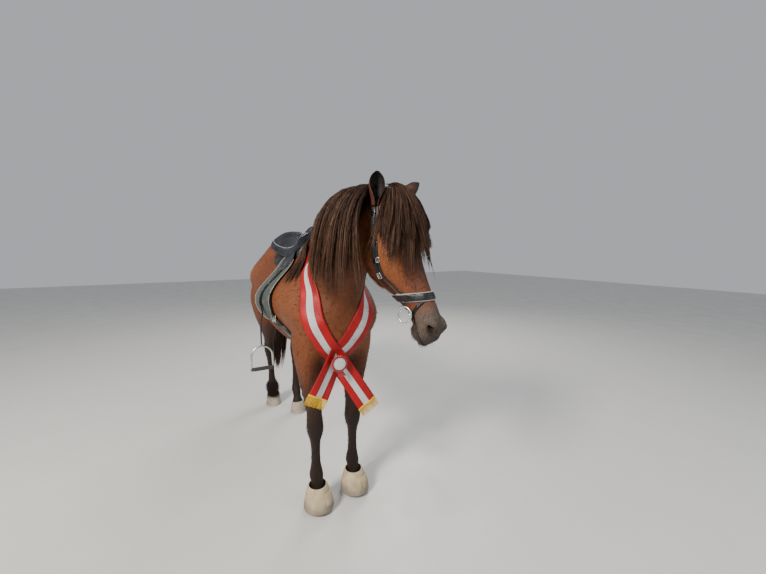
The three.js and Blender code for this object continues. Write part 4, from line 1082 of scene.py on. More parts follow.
def ear_loft(sign, rows=40, steps=26):
    foot, up, opening, across = ear_frame(sign)
    rings = []
    for at in stations(EAR_SHAPE, rows):
        row = row_at(EAR_SHAPE, at)
        centre = foot + up * at * EAR["length"] - opening * EAR["lean"] * at * at
        share = np.linspace(-1, 1, steps)
        angle = row["wrap"] * share[:, None]
        leaf = across * np.sin(angle) - opening * np.cos(angle)
        edge = 1 - 0.5 * np.abs(share) ** 6
        outer = row["radius"] - 1.0
        inner = outer - min(EAR["wall"], row["radius"] * 0.5) * edge[:, None]
        rings.append(centre + np.concatenate([outer * leaf, (inner * leaf)[::-1]]))
    return loft(rings)


def ear_tint(points, sign):
    foot, up, opening, _ = ear_frame(sign)
    q = points - foot
    height = q @ up / EAR["length"]
    bow = opening * EAR["lean"] * (height**2)[:, None]
    radius = np.linalg.norm(q - np.outer(q @ up, up) + bow, axis=1)
    wall = np.array([read_at(EAR_SHAPE, "radius", h) for h in np.clip(height, -0.19, 1)])
    # The hollow of the ear is painted black as painted shade; the back of the ear darkens towards its tip.
    inner = radius < wall - 2.6
    back = mix(np.tile(DARK * 1.6, (len(points), 1)), BLACK * 2, between(0.55, 0.95, height)[:, None])
    return np.where(inner[:, None], BLACK * 1.5, back)


def flesh_nodes():
    names = ["torso", "neck", "head", "ear_right", "ear_left"]
    for leg, facts in LEGS.items():
        upper = "forearm" if facts["rows"] is FORE_LEG else "thigh"
        names += [f"{leg}_{part}" for part in (upper, "cannon", "pastern")]
    return names


def triangles_of(mesh):
    mesh.calc_loop_triangles()
    return read_back(mesh.loop_triangles, "vertices", 3, np.int32)


def with_ears(mesh):
    made = bmesh.new()
    made.from_mesh(mesh)
    for sign in SIDES.values():
        points, faces = ear_loft(sign)
        verts = [made.verts.new(p) for p in points]
        for face in faces:
            made.faces.new([verts[k] for k in face])
    made.to_mesh(mesh)
    made.free()


def make_skin():
    mesh = make_skin_mesh()
    body_points, body_triangles = points_of(mesh), triangles_of(mesh)
    lookup = BVHTree.FromPolygons(body_points.tolist(), body_triangles.tolist())
    body_count = len(body_points)
    with_ears(mesh)
    points = points_of(mesh)
    tint = coat_tint(points)
    ear_points = points[body_count:]
    half = len(ear_points) // 2
    tint[body_count : body_count + half] = ear_tint(ear_points[:half], -1)
    tint[body_count + half :] = ear_tint(ear_points[half:], 1)
    paint(mesh, tint)
    limb = mesh.attributes.new("limb", "FLOAT", "POINT")
    limb.data.foreach_set("value", limb_share(points).astype(np.float32))
    set_points(mesh, (points + SHIFT) / MM)
    outward(mesh)
    mesh.name = "skin"
    finish_mesh(mesh, COAT, True)
    place(bpy.data.objects.new("skin", mesh), "coat", flesh_nodes())
    return lookup, body_points, body_triangles


SKIN, SKIN_POINTS, SKIN_TRIANGLES = make_skin()


def nearest(point):
    location, normal, _, distance = SKIN.find_nearest(Vector(point))
    return np.array(location), np.array(normal), distance


def cast(origin, direction):
    location, normal, _, _ = SKIN.ray_cast(Vector(origin), Vector(direction))
    return (None, None) if location is None else (np.array(location), np.array(normal))


# Eyes: a wide dark pupil that lies flat, in a brown iris.

PUPIL = np.array([0.002, 0.002, 0.004])
IRIS = np.array([0.05, 0.02, 0.008])
EYE_BROWN = np.array([0.03, 0.014, 0.009])


def make_eyes():
    for name, sign in SIDES.items():
        centre = head_point(EYE["along"], EYE["depth"], sign * EYE["out"])
        along, up, out = spot_axes(sign, 0.12)
        points, faces = ball(centre, [EYE["radius"]] * 3, np.array([along, up, out]), 48, 32)
        q = points - centre
        flat = (q @ along / 9.5) ** 2 + (q @ up / 6.0) ** 2
        front = (q @ out) > 0
        tint = np.tile(EYE_BROWN, (len(points), 1))
        tint[front & (flat < 3.4)] = IRIS
        tint[front & (flat < 1)] = PUPIL
        quads = [f for f in faces if len(f) == 4]
        caps = [f for f in faces if len(f) == 3]
        triangles = np.array([t for a, b, c, d in quads for t in ((a, b, c), (a, c, d))] + caps)
        make_large(f"eyeball_{name}", points, triangles, EYE_GLASS, "eye", tint, None, [f"eye_{name}"])


make_eyes()

# Hair: thin closed tufts, three sided, that taper to a point.


def tufts(paths, outs, widths, thick=0.45):
    """Points and triangles of tufts along paths of one length: (count, steps, 3)."""
    count, steps, _ = paths.shape
    along = np.gradient(paths, axis=1)
    across = unit(np.cross(along, outs))
    outs = unit(np.cross(across, along))
    profile = np.interp(np.linspace(0, 1, steps), [0, 0.12, 0.6, 0.88, 1], [0.7, 1, 0.9, 0.55, 0.06])
    half = widths[:, None, None] * profile[None, :, None] / 2
    corners = np.stack([paths + across * half, paths + outs * half * thick * 2, paths - across * half], 2)
    points = corners.reshape(-1, 3)
    ring = np.arange(steps - 1)[:, None] * 3
    tri = []
    for k in range(3):
        m = (k + 1) % 3
        tri.append(np.concatenate([ring + k, ring + m, ring + 3 + k], 1))
        tri.append(np.concatenate([ring + m, ring + 3 + m, ring + 3 + k], 1))
    last = (steps - 1) * 3
    one = np.concatenate(tri + [np.array([[0, 2, 1], [last, last + 1, last + 2]])])
    triangles = (one[None] + (np.arange(count) * steps * 3)[:, None, None]).reshape(-1, 3)
    return points, triangles


PATCH = 0.003


def bake_map(roots, steps):
    """Each tuft is a small patch at its root's place on the unwrap."""
    t = np.linspace(0, 1, steps)
    cell = np.stack(np.meshgrid(t, [0.0, 0.5, 1.0], indexing="ij"), -1).reshape(-1, 2)
    uv = roots[:, None, :] * (1 - PATCH) + cell[None] * PATCH
    return uv.reshape(-1, 2)


def grown(root, start, length, steps, clearance, lean=(0, 0, 0), stiff=0.72, wave=None):
    """A path that leaves root, bends down under its weight and slides over the skin."""
    step = length / steps
    point, direction = np.array(root, float), unit(start)
    path, outs = [point], [unit(start)]
    pull = unit(np.array([0, 0, -1.0]) + lean)
    reach = clearance * np.interp(np.arange(steps) / steps, [0, 0.2, 0.6, 1], [0.7, 1, 0.85, 0.4])
    for i in range(steps):
        direction = unit(direction * stiff + pull * (1 - stiff))
        if wave is not None:
            direction = unit(direction + wave * math.sin(i * 1.15))
        new = point + direction * step
        on, normal, distance = nearest(new)
        gap = (new - on) @ normal
        if gap < reach[i]:
            new = on + normal * reach[i]
            new = point + unit(new - point) * step
        path.append(new)
        outs.append(normal if distance < 60 else outs[-1])
        direction = unit(new - point)
        point = new
    return np.array(path), np.array(outs)


def clumped(rng, guide, outs, count, root_spread, tip_spread, layer, wave=2.0):
    """Tufts that follow a guide and draw together at its tip."""
    steps = len(guide)
    t = np.linspace(0, 1, steps)
    along = unit(np.gradient(guide, axis=0))
    across = unit(np.cross(along, outs))
    spot = rng.uniform(-1, 1, count)
    spread = mix(root_spread, tip_spread, t ** 0.8)
    drift = rng.normal(0, 0.4, count)[:, None] * t[None] * root_spread * 0.6
    phase, turns = rng.uniform(0, 6.28, count), rng.uniform(1.5, 3.2, count)
    ripple = wave * np.sin(turns[:, None] * 6.28 * t[None] + phase[:, None]) * t[None]
    sideways = spot[:, None] * spread[None] + drift + ripple
    lift = rng.uniform(0, layer, count)[:, None] * np.minimum(t * 6, 1)[None] + 0.6 * ripple
    paths = guide[None] + across[None] * sideways[..., None] + outs[None] * lift[..., None]
    share = rng.uniform(0.68, 1.0, count)
    stretched = np.empty_like(paths)
    for n in range(count):
        for k in range(3):
            stretched[n, :, k] = np.interp(t * share[n], t, paths[n, :, k])
    return stretched, np.broadcast_to(outs[None], stretched.shape)


def hair_tint(rng, count, steps, dark, light, shine, tip):
    """A colour for each ring of each tuft: some tufts carry a painted sunlit highlight, and tips are paler.
    """
    t = np.linspace(0, 1, steps)[None, :, None]
    pick = rng.uniform(0, 1, (count, 1, 1)) ** 1.6
    base = mix(dark, light, pick)
    # Painted highlight: some tufts are coloured as if lit by the sun.
    glow = (rng.uniform(0, 1, (count, 1, 1)) < shine) * rng.uniform(0.4, 1, (count, 1, 1))
    base = mix(base, MANE_LIGHT, glow * ease((t - 0.1) / 0.4))
    base = mix(base, tip, 0.35 * t**2)
    return np.repeat(base[:, :, None, :], 3, 2).reshape(-1, 3)


EAR_ROOM = {"radius": 36, "low": 0.1}


def off_ears(paths):
    """Which tufts stay out of both ears and of the space in front of them."""
    clear = np.ones(len(paths), bool)
    for sign in SIDES.values():
        foot, up, opening, _ = ear_frame(sign)
        q = paths - foot - opening * EAR_ROOM["radius"] * 0.4
        height = q @ up
        apart = np.linalg.norm(q - height[..., None] * up, axis=-1)
        inside = (apart < EAR_ROOM["radius"]) & (height > EAR["length"] * EAR_ROOM["low"])
        clear &= ~(inside & (height < EAR["length"] * 1.1)).any(1)
    return clear


def rooted(rng, place, spread, count):
    """Where the tufts of one lock have their roots on the unwrap."""
    return np.clip(rng.uniform(-spread, spread, (count, 2)) + place, 0.01, 0.99)


def make_hair(name, rng, parts, widths, shades, roots, replaced=()):
    paths = np.concatenate([p for p, _ in parts])
    outs = np.concatenate([o for _, o in parts])
    clear = off_ears(paths)
    paths, outs, roots = paths[clear], outs[clear], np.concatenate(roots)[clear]
    count, steps, _ = paths.shape
    width = rng.uniform(widths[0], widths[1], count)
    points, triangles = tufts(paths, outs, width)
    uv = bake_map(roots, steps)
    tint = hair_tint(rng, count, steps, *shades)
    make_large(name, points, triangles, HAIR, "mane", tint, uv, replaced)


HAIR_STEPS = 11
FINE_TUFT = (1.4, 3.0)


def crest_at(at):
    row = row_at(NECK, at)
    turn = row_at(NECK_PATH, at)
    root = turned(turn, row["topX"], 0.0, row["topZ"])
    side = np.array([-math.sin(turn["yaw"]), math.cos(turn["yaw"]), 0])
    front = np.array([math.cos(turn["yaw"]), math.sin(turn["yaw"]), 0])
    return root, side, front


SASH = {
    "half": 49,
    "lift": 3.0,
    "crest": np.array([268.0, 0.0, 1381.0]),
    "crossing": np.array([650.0, -44.0, 800.0]),
    "flank": np.array([520.0, 200.0, 1100.0]),
}
BANDS = {
    "right": {"normal": unit([0.676, 0.649, 0.35]), "point": np.array([520, -128, 1150])},
    "left": {"normal": unit([0.625, -0.651, 0.43]), "point": np.array([646, 113, 1025])},
}


def ahead_of_band(points, side):
    band = BANDS[side]
    return (points - band["point"]) @ band["normal"]


MANE = {"longest": 560, "root_half": 20, "clearance": 5, "locks": 66, "tufts": 46, "sink": 5}
MANE_PIECES = [
    {"name": "mane_right", "side": "right", "seed": 21, "layers": [0, 5], "share": 1.0},
    {"name": "mane_right_over", "side": "right", "seed": 24, "layers": [8, 14], "share": 0.96},
    {"name": "mane_left", "side": "left", "seed": 22, "layers": [0, 6, 12], "share": 1.0},
]


def mane_lock(rng, at, side, length, layer):
    root, out, front = crest_at(at)
    sign = SIDES[side]
    start = 0.75 * UPWARD + out * sign * 0.75 - front * rng.uniform(0, 0.3)
    root = root + out * sign * rng.uniform(-0.3, 1) * MANE["root_half"] - UPWARD * MANE["sink"]
    back = rng.uniform(0.1, 0.42) - 0.34 * between(0.7, 0.97, at)
    if side == "left":
        back -= 0.16
    while True:
        wave = front * rng.uniform(-0.05, 0.05)
        clearance = MANE["clearance"] + layer
        path, outs = grown(root, start, length, HAIR_STEPS - 1, clearance, -front * back, 0.6, wave)
        if length < 110 or ahead_of_band(path[3:], side).min() > SASH["half"] - 6:
            return path, outs
        length *= 0.9
        back *= 0.85


def make_mane(piece):
    rng = np.random.default_rng(piece["seed"])
    parts, roots = [], []
    for n in range(MANE["locks"]):
        at = 0.13 + 0.86 * ((n + rng.uniform(0, 1)) / MANE["locks"])
        length = MANE["longest"] * piece["share"] * rng.uniform(0.76, 1.04)
        path, outs = mane_lock(rng, at, piece["side"], length, rng.choice(piece["layers"]))
        parts.append(clumped(rng, path, outs, MANE["tufts"], 15, rng.uniform(12, 20), 11, 2.6))
        spread = rng.uniform(-0.02, 0.02, (MANE["tufts"], 2))
        roots.append(np.clip([at, 0.5] + spread * [0.5, 20], 0.01, 0.99))
    shades = (MANE_DARK, MANE_MID, 0.24, MANE_LIGHT)
    make_hair(piece["name"], rng, parts, FINE_TUFT, shades, roots)


WITHERS = {"from": 216, "run": 66, "locks": 15, "tufts": 36}


def make_withers_hair():
    rng = np.random.default_rng(23)
    parts, roots = [], []
    locks, count = WITHERS["locks"], WITHERS["tufts"]
    for sign in SIDES.values():
        for n in range(locks):
            x = WITHERS["from"] + WITHERS["run"] * n / (locks - 1)
            root = np.array([x, sign * rng.uniform(0, 20), read_at(TORSO, "top", x) - 6])
            lean = np.array([rng.uniform(0.22, 0.36), 0, 0])
            length = rng.uniform(250, 360)
            start = [0.2, sign * 0.8, 0.35]
            path, outs = grown(root, start, length, HAIR_STEPS - 1, 4 + n % 3 * 3, lean, 0.6)
            parts.append(clumped(rng, path, outs, count, 12, 6, 6))
            roots.append(rooted(rng, [n / locks + 0.03, 0.5 + sign * 0.2], 0.05, count))
    shades = (MANE_DARK, MANE_MID, 0.15, MANE_MID)
    make_hair("mane_withers", rng, parts, (2.0, 4.0), shades, roots)


FORELOCK = {"length": 345, "locks": 50, "tufts": 44}
FORELOCK_PIECES = [
    {"name": "forelock", "seed": 31, "layers": [6, 14, 22], "back": (-30, 26)},
    {"name": "forelock_over", "seed": 32, "layers": [30, 42, 54], "back": (-52, 6)},
]


def make_forelock(piece):
    rng = np.random.default_rng(piece["seed"])
    parts, roots = [], []
    along, up, left = HEAD_AXES
    for n in range(FORELOCK["locks"]):
        share = (n + 0.5) / FORELOCK["locks"] * 2 - 1
        share = float(np.clip(share + rng.normal(0, 0.06), -1, 1))
        at = rng.uniform(*piece["back"])
        root = head_point(at, -2 - 16 * share * share, 44 * share)
        start = up * 1.0 + along * 0.1 + left * share * 0.8
        lean = along * 0.3 + left * share * (0.5 if share > 0 else 0.8)
        length = FORELOCK["length"] * rng.uniform(0.7, 1.05) * (1 - 0.15 * share * share)
        clearance = piece["layers"][n % 3]
        path, outs = grown(root, start, length, HAIR_STEPS - 1, clearance, lean, 0.62)
        parts.append(clumped(rng, path, outs, FORELOCK["tufts"], 14, rng.uniform(11, 18), 10))
        spot = [0.5 + 0.42 * share, 0.5 + at / 110]
        roots.append(rooted(rng, spot, 0.06, FORELOCK["tufts"]))
    # The forelock's colours are darker than the mane's: painted shade near the face.
    shades = (MANE_DARK * 0.8, MANE_MID * 0.85, 0.2, MANE_LIGHT * 0.9)
    make_hair(piece["name"], rng, parts, FINE_TUFT, shades, roots)


# Short tufts of the coat, where it breaks the form

FUR_STEPS = 4


def lie_of(points):
    """Which way the coat lies: back over the body, down the legs and along the face."""
    x, z = points[:, 0], points[:, 2]
    head = in_head(points)
    on_head = between(20, 60, head[:, 0]) * (head[:, 1] > -240) * (x > 640)
    down = np.tile([-0.15, 0, -1.0], (len(points), 1))
    back = np.tile([-1.0, 0, -0.35], (len(points), 1))
    lie = mix(down, back, between(760, 900, z)[:, None])
    return mix(lie, np.tile(HEAD_AXES[0], (len(points), 1)), on_head[:, None])


def fur_roots(rng, weights, count):
    """Places on the skin, drawn by area and by weight."""
    a, b, c = (SKIN_POINTS[SKIN_TRIANGLES[:, k]] for k in range(3))
    normals = np.cross(b - a, c - a)
    area = np.linalg.norm(normals, axis=1)
    share = area * weights((a + b + c) / 3, unit(normals))
    pick = rng.choice(len(area), count, p=share / share.sum())
    u, v = rng.uniform(0, 1, (2, count, 1))
    u, v = np.where(u + v > 1, 1 - u, u), np.where(u + v > 1, 1 - v, v)
    return a[pick] + (b - a)[pick] * u + (c - a)[pick] * v, unit(normals[pick])


def make_fur(name, seed, count, weights, lengths, widths, stand, tint, sag=0.0):
    rng = np.random.default_rng(seed)
    roots, normals = fur_roots(rng, weights, count)
    lie = lie_of(roots)
    lie = unit(lie - normals * (lie * normals).sum(-1, keepdims=True) + rng.normal(0, 0.12, lie.shape))
    length = rng.uniform(*lengths, (count, 1))
    rise = stand * rng.uniform(0.6, 1.3, (count, 1))
    t = np.linspace(0, 1, FUR_STEPS)[None, :, None]
    lift = (-0.8 + rise * length * np.sin(t[0, :, 0] * 2.2))[..., None]
    paths = roots[:, None] + lie[:, None] * length[:, None] * t + normals[:, None] * lift
    paths[..., 2] -= sag * length * t[0, :, 0] ** 2
    outs = np.broadcast_to(normals[:, None], paths.shape)
    points, triangles = tufts(paths, outs, rng.uniform(*widths, count))
    # The tufts take the coat's colour, with its painted highlight and painted shade.
    colour = tint(roots) * rng.uniform(0.7, 1.2, (count, 1))
    shade = np.repeat(colour, FUR_STEPS * 3, axis=0)
    places = (roots - SKIN_POINTS.min(0)) / (SKIN_POINTS.max(0) - SKIN_POINTS.min(0))
    side = np.where(roots[:, 1] > 0, 0.5, 0.0)
    uv = bake_map(np.column_stack([places[:, 0], side + 0.5 * places[:, 2]]), FUR_STEPS)
    make_large(name, points, triangles, HAIR, "coat", shade, uv)


def edge_weight(points, normals):
    """Belly line, breast, elbows, buttocks, jaw and throat, with a little everywhere else."""
    x, _, z = points.T
    head = in_head(points)
    body = between(560, 700, z) * (1 - between(20, 70, head[:, 0]) * (x > 640))
    belly = near(points, (-60, 0, 700), (520, 90, 90))
    breast = near(points, (640, 0, 900), (90, 200, 260))
    elbow = near(points, (330, 0, 800), (110, 400, 120))
    rear = near(points, (-830, 0, 950), (120, 300, 260))
    flank = near(points, (-420, 0, 800), (120, 400, 120))
    jaw = (head[:, 0] > 60) * (head[:, 0] < 480) * near(head * [0, 1, 0], (0, -230, 0), (1, 60, 1))
    return 0.05 + 0.35 * body + 1.5 * (belly + breast + elbow + rear + flank) + 2.5 * jaw * (x > 640)


def fetlock_weight(points, normals):
    x, z = points[:, 0], points[:, 2]
    axis = np.where(x > -200, 232, HIND_HOOF_AXIS)
    behind = x < axis + 8
    return behind * between(96, 112, z) * (1 - between(150, 220, z)) + 1e-9


def chin_weight(points, normals):
    head = in_head(points)
    low = near(head * [1, 1, 0], (530, -135, 0), (55, 26, 1))
    throat = near(head * [1, 1, 0], (330, -215, 0), (190, 26, 1))
    return (low + 0.5 * throat) * (points[:, 0] > 640) * (np.abs(head[:, 2]) < 60) + 1e-9


def cannon_weight(points, normals):
    z = points[:, 2]
    return between(170, 260, z) * (1 - between(620, 760, z)) * (normals[:, 0] < 0.2) + 1e-9


def make_coat_tufts():
    make_fur("coat_tufts", 61, 7800, edge_weight, (14, 26), (1.0, 2.2), 0.16, coat_tint)
    make_fur("leg_tufts", 62, 2600, cannon_weight, (12, 24), (0.9, 1.8), 0.22, coat_tint)
    make_fur("fetlock_tufts", 63, 1700, fetlock_weight, (28, 52), (1.2, 2.4), 0.3, coat_tint, 0.3)
    make_fur("chin_tufts", 64, 900, chin_weight, (8, 19), (0.8, 1.5), 0.22, coat_tint, 0.4)


# The tail hangs from the dock in one bundle.

TAIL = table(
    "at front back half",
    [
        (215, -910, -950, 30),
        (300, -898, -970, 60),
        (480, -892, -992, 84),
        (700, -890, -1000, 94),
        (900, -884, -985, 84),
        (1040, -856, -945, 64),
        (1120, -820, -900, 48),
        (1165, -800, -850, 30),
    ],
)


TAIL_HAIR = {"locks": 74, "tufts": 40, "tops": (1158, 900), "tips": (228, 470)}
DOCK = {"top": 1168, "tip": 820, "share": 0.46, "taper": 60}


def tail_point(z, angle, share):
    row = row_at(TAIL, z)
    reach = (row["front"] - row["back"]) / 2 * share
    x = (row["front"] + row["back"]) / 2 + reach * math.cos(angle)
    return np.array([x, row["half"] * share * math.sin(angle), z])


def make_tail():
    rng = np.random.default_rng(41)
    parts, roots = [], []
    t = np.linspace(0, 1, HAIR_STEPS)
    for _ in range(TAIL_HAIR["locks"]):
        angle = rng.uniform(0, 2 * math.pi)
        top = mix(*TAIL_HAIR["tops"], rng.uniform(0, 1) ** 1.2)
        tip = mix(*TAIL_HAIR["tips"], rng.uniform(0, 1) ** 1.5)
        share = math.sqrt(rng.uniform(0.08, 0.92))
        heights = np.linspace(top, tip, HAIR_STEPS)
        reaches = mix(0.22, share, ease(t * 3.2))
        path = np.array([tail_point(z, angle + 0.25 * s, r) for z, s, r in zip(heights, t, reaches)])
        outs = np.tile([math.cos(angle), math.sin(angle), 0.0], (HAIR_STEPS, 1))
        parts.append(clumped(rng, path, outs, TAIL_HAIR["tufts"], 13, 6, 5, 3.0))
        roots.append(rooted(rng, [(top - 880) / 300, angle / 6.3], 0.04, TAIL_HAIR["tufts"]))
    shades = (MANE_DARK * 0.8, MANE_MID * 0.9, 0.12, MANE_LIGHT)
    make_hair("tail_hair", rng, parts, (2.6, 5.0), shades, roots, ["tail"])
    dock = []
    for z in np.linspace(DOCK["top"], DOCK["tip"], 24):
        share = DOCK["share"] * min(1, 0.3 + (DOCK["top"] - z) / DOCK["taper"])
        dock.append(np.array([tail_point(z, angle, share) for angle in circle(24)]))
    make_piece("tail_dock", loft(dock), HAIR_DARK, "mane")


HAIR_DARK = plain_material("hair_dark", tuple(MANE_DARK), tuple(MANE_DARK * 0.5), 0.7, 90.0)

for piece in MANE_PIECES:
    make_mane(piece)
make_withers_hair()
for piece in FORELOCK_PIECES:
    make_forelock(piece)
make_tail()
make_coat_tufts()

# Strips that wrap round the body, found by looking in at the skin from all round.


def resampled(points, count):
    steps = np.linalg.norm(np.diff(points, axis=0), axis=1)
    run = np.concatenate([[0], np.cumsum(steps)])
    at = np.linspace(0, run[-1], count)
    return np.stack([np.interp(at, run, points[:, k]) for k in range(points.shape[1])], 1)


def wrap(centre, axis_u, axis_v, angles, offsets, rows, reach=420):
    """A grid of points (rows, offsets, 3) on the skin, and the way out at each."""
    normal = unit(np.cross(axis_u, axis_v))
    columns = []
    for offset in offsets:
        hits = []
        for angle in angles:
            direction = axis_u * math.cos(angle) + axis_v * math.sin(angle)
            point, _ = cast(centre + normal * offset + direction * reach, -direction)
            if point is not None:
                hits.append(np.concatenate([point, direction]))
        columns.append(resampled(np.array(hits), rows))
    grid = np.stack(columns, 1)
    return grid[..., :3], unit(grid[..., 3:])


def outs_of(grid, guess):
    """The way out of a grid of points, turned to agree with a guess."""
    n = unit(np.cross(np.gradient(grid, axis=0), np.gradient(grid, axis=1)))
    return n * np.sign((n * guess).sum(-1, keepdims=True))


def sheet_mesh(outer, inner):
    """A closed thin form between two grids of one size."""
    rows, columns = outer.shape[:2]
    points = np.concatenate([outer.reshape(-1, 3), inner.reshape(-1, 3)])
    back = rows * columns
    faces = []
    for i in range(rows - 1):
        for j in range(columns - 1):
            a = i * columns + j
            faces.append((a, a + 1, a + columns + 1, a + columns))
            faces.append((back + a, back + a + columns, back + a + columns + 1, back + a + 1))
    rim = list(range(columns - 1))
    rim += [i * columns + columns - 1 for i in range(rows - 1)]
    rim += [(rows - 1) * columns + j for j in range(columns - 1, 0, -1)]
    rim += [i * columns for i in range(rows - 1, 0, -1)]
    for a, b in zip(rim, rim[1:] + rim[:1]):
        faces.append((b, a, back + a, back + b))
    return points, faces


def make_strip(name, grid, guess, lift, thick, material, slot, replaced=(), crown=0.35):
    """A strap or ribbon on a grid of points, crowned over its middle, with strip coordinates."""
    rows, columns = grid.shape[:2]
    outs = outs_of(grid, guess)
    side = np.linspace(-1, 1, columns)
    height = lift + thick * (1 - crown * np.abs(side) ** 4)
    outer = grid + outs * height[None, :, None]
    inner = grid + outs * (lift * 0.4)
    points, faces = sheet_mesh(outer, inner)
    obj = make_piece(name, (points, faces), material, slot, replaced)
    run = np.concatenate([[0], np.cumsum(np.linalg.norm(np.diff(grid[:, columns // 2], axis=0), axis=1))])
    u = np.repeat(run / MM, columns)
    v = np.tile(np.linspace(0, 1, columns), rows)
    uv = np.tile(np.column_stack([u, v]), (2, 1))
    layer = obj.data.uv_layers.new(name="strip")
    loops = np.empty(len(obj.data.loops), np.int32)
    obj.data.loops.foreach_get("vertex_index", loops)
    layer.data.foreach_set("uv", uv[loops].ravel())
    return obj


def tube(path, radius, sides=10, closed=False):
    """Points and faces of a round bar along a path."""
    path = np.asarray(path, float)
    if closed:
        along = unit(np.roll(path, -1, 0) - np.roll(path, 1, 0))
    else:
        along = unit(np.gradient(path, axis=0))
    guide = np.array([0.13, 0.31, 0.94])
    across = unit(np.cross(along, guide))
    up = np.cross(across, along)
    angle = circle(sides)
    radii = np.broadcast_to(radius, len(path))
    rings = [
        path[i] + radii[i] * (across[i] * np.cos(angle)[:, None] + up[i] * np.sin(angle)[:, None])
        for i in range(len(path))
    ]
    return looped(rings) if closed else loft(rings)


def ring_path(centre, axis_u, axis_v, radius, count=40):
    angle = circle(count)
    return centre + radius * (np.cos(angle)[:, None] * axis_u + np.sin(angle)[:, None] * axis_v)


# The sash: each ribbon runs from the crest round the breast, and hangs free below the crossing.

SASH_ROWS = 90
SASH_COLUMNS = 15
SASH_CENTRE = np.array([430.0, 0.0, 1120.0])
TAIL_ENDS = {"right": np.array([652, 97, 566]), "left": np.array([652, -142, 640])}
RIBBON_THICK = 0.9


def in_plane_axes(normal, towards):
    u = unit(towards - normal * (towards @ normal))
    return u, unit(np.cross(normal, u))


def sash_grid(side):
    band = BANDS[side]
    normal = band["normal"]
    centre = SASH_CENTRE - normal * ((SASH_CENTRE - band["point"]) @ normal)
    crest, crossing = SASH["crest"], SASH["crossing"]
    u, v = in_plane_axes(normal, crest - centre)
    flank = SASH["flank"] * [1, SIDES[side], 1] - centre
    if flank @ v < 0:
        v = -v
    end = math.atan2((crossing - centre) @ v, (crossing - centre) @ u) % (2 * math.pi)
    start = math.atan2((crest - centre) @ v, (crest - centre) @ u)
    angles = np.linspace(start, end, 150)
    offsets = np.linspace(-1, 1, SASH_COLUMNS) * SASH["half"]
    return wrap(centre, u, v, angles, offsets * np.sign(np.cross(u, v) @ normal), SASH_ROWS), normal


def hang_grid(side, first, lift, rows=30):
    """The free end of a ribbon, from the crossing down to its hem."""
    end = TAIL_ENDS[side] + np.array([lift, 0, 0])
    run = end - first.mean(0)
    across = unit(np.array([0, run[2], -run[1]]))
    if (first[-1] - first[0]) @ across < 0:
        across = -across
    last = end + across * np.linspace(-1, 1, len(first))[:, None] * SASH["half"]
    t = np.linspace(0, 1, rows + 1)[1:, None, None]
    grid = mix(first[None], last[None], ease(t) * 0.35 + t * 0.65)
    sag = np.sin(t * math.pi) * 5
    ripple = 3.0 * np.sin(np.linspace(0, 1, len(first))[None, :, None] * 7 + t * 3) * t
    grid[..., 0:1] += sag + ripple
    return grid


def make_sash():
    pieces = {}
    for side in SIDES:
        (grid, guess), _ = sash_grid(side)
        edges = np.linspace(0, 1, SASH_ROWS)[:, None, None]
        slant = np.linspace(0, 3, SASH_COLUMNS)[None, :, None]
        grid = grid + unit(guess) * (1.2 * np.sin(edges * 40 + slant))
        for _ in range(3):
            grid[1:-1] = (grid[:-2] + grid[2:] + 2 * grid[1:-1]) / 4
        lift = SASH["lift"] + (2.5 if side == "right" else 0.0)
        outs = outs_of(grid, guess)
        lifted = grid + outs * lift
        tail = hang_grid(side, lifted[-1], 10 if side == "right" else 2)
        whole = np.concatenate([lifted, tail])
        guess = np.concatenate([guess, np.tile([1.0, 0, 0], (len(tail), SASH_COLUMNS, 1))])
        replaced = [f"sash_band_{side}", f"sash_tail_{OTHER[side]}"]
        finish = (SASH_SATIN, "ribbon", replaced)
        obj = make_strip(f"sash_{side}", whole, guess, 0.5, RIBBON_THICK, *finish, crown=0.0)
        length = np.linalg.norm(np.diff(whole[:, SASH_COLUMNS // 2], axis=0), axis=1).sum()
        pieces[side] = (obj, whole, length)
    return pieces


FRINGE = {"length": 44, "threads": 58, "radius": 0.9}


def make_fringe(side, hem):
    """Gold threads along the hem of a ribbon's free end."""
    rng = np.random.default_rng(51 if side == "right" else 52)
    down = unit(hem[1].mean(0) - hem[0].mean(0))
    parts = []
    for n in range(FRINGE["threads"]):
        share = n / (FRINGE["threads"] - 1) * (len(hem[1]) - 1)
        k = min(int(share), len(hem[1]) - 2)
        top = mix(hem[1][k], hem[1][k + 1], share - k)
        reach = FRINGE["length"] * rng.uniform(0.92, 1.05)
        sway = AHEAD * rng.normal(0, 1.4) + LEFTWARD * rng.normal(0, 1.2)
        t = np.linspace(0, 1, 6)[:, None]
        path = top + down * reach * t + sway * t**2 + np.array([0.8 * (-1) ** n, 0, 0])
        parts.append(tube(path, np.linspace(1.0, 0.75, 6) * FRINGE["radius"], 5))
    replaced = [f"sash_fringe_{OTHER[side]}"]
    threads = make_piece(f"fringe_{side}", joined(parts), GOLD_THREAD, "fringe", replaced)
    band = np.stack([hem[1] - down * 5, hem[1] + down * 3])
    trim = make_strip(f"fringe_head_{side}", band, AHEAD, 0.9, 2.0, GOLD_THREAD, "fringe")
    return [threads, trim]


ROSETTE_RINGS = ((8, 0, 0), (20, 1, 0.4), (27, 1, 0.8), (33, 1, 1.6), (39, 0, 2.4))
ROSETTE_DISC = ((0.5, 4.6), (10, 4.4), (20, 3.8), (25, 2.9), (27, 1.6), (27, 0.2))
ROSETTE = {"ahead": 22, "drop": 12, "pleats": 24, "steps": 144, "thick": 2.2, "rim": 26.2}


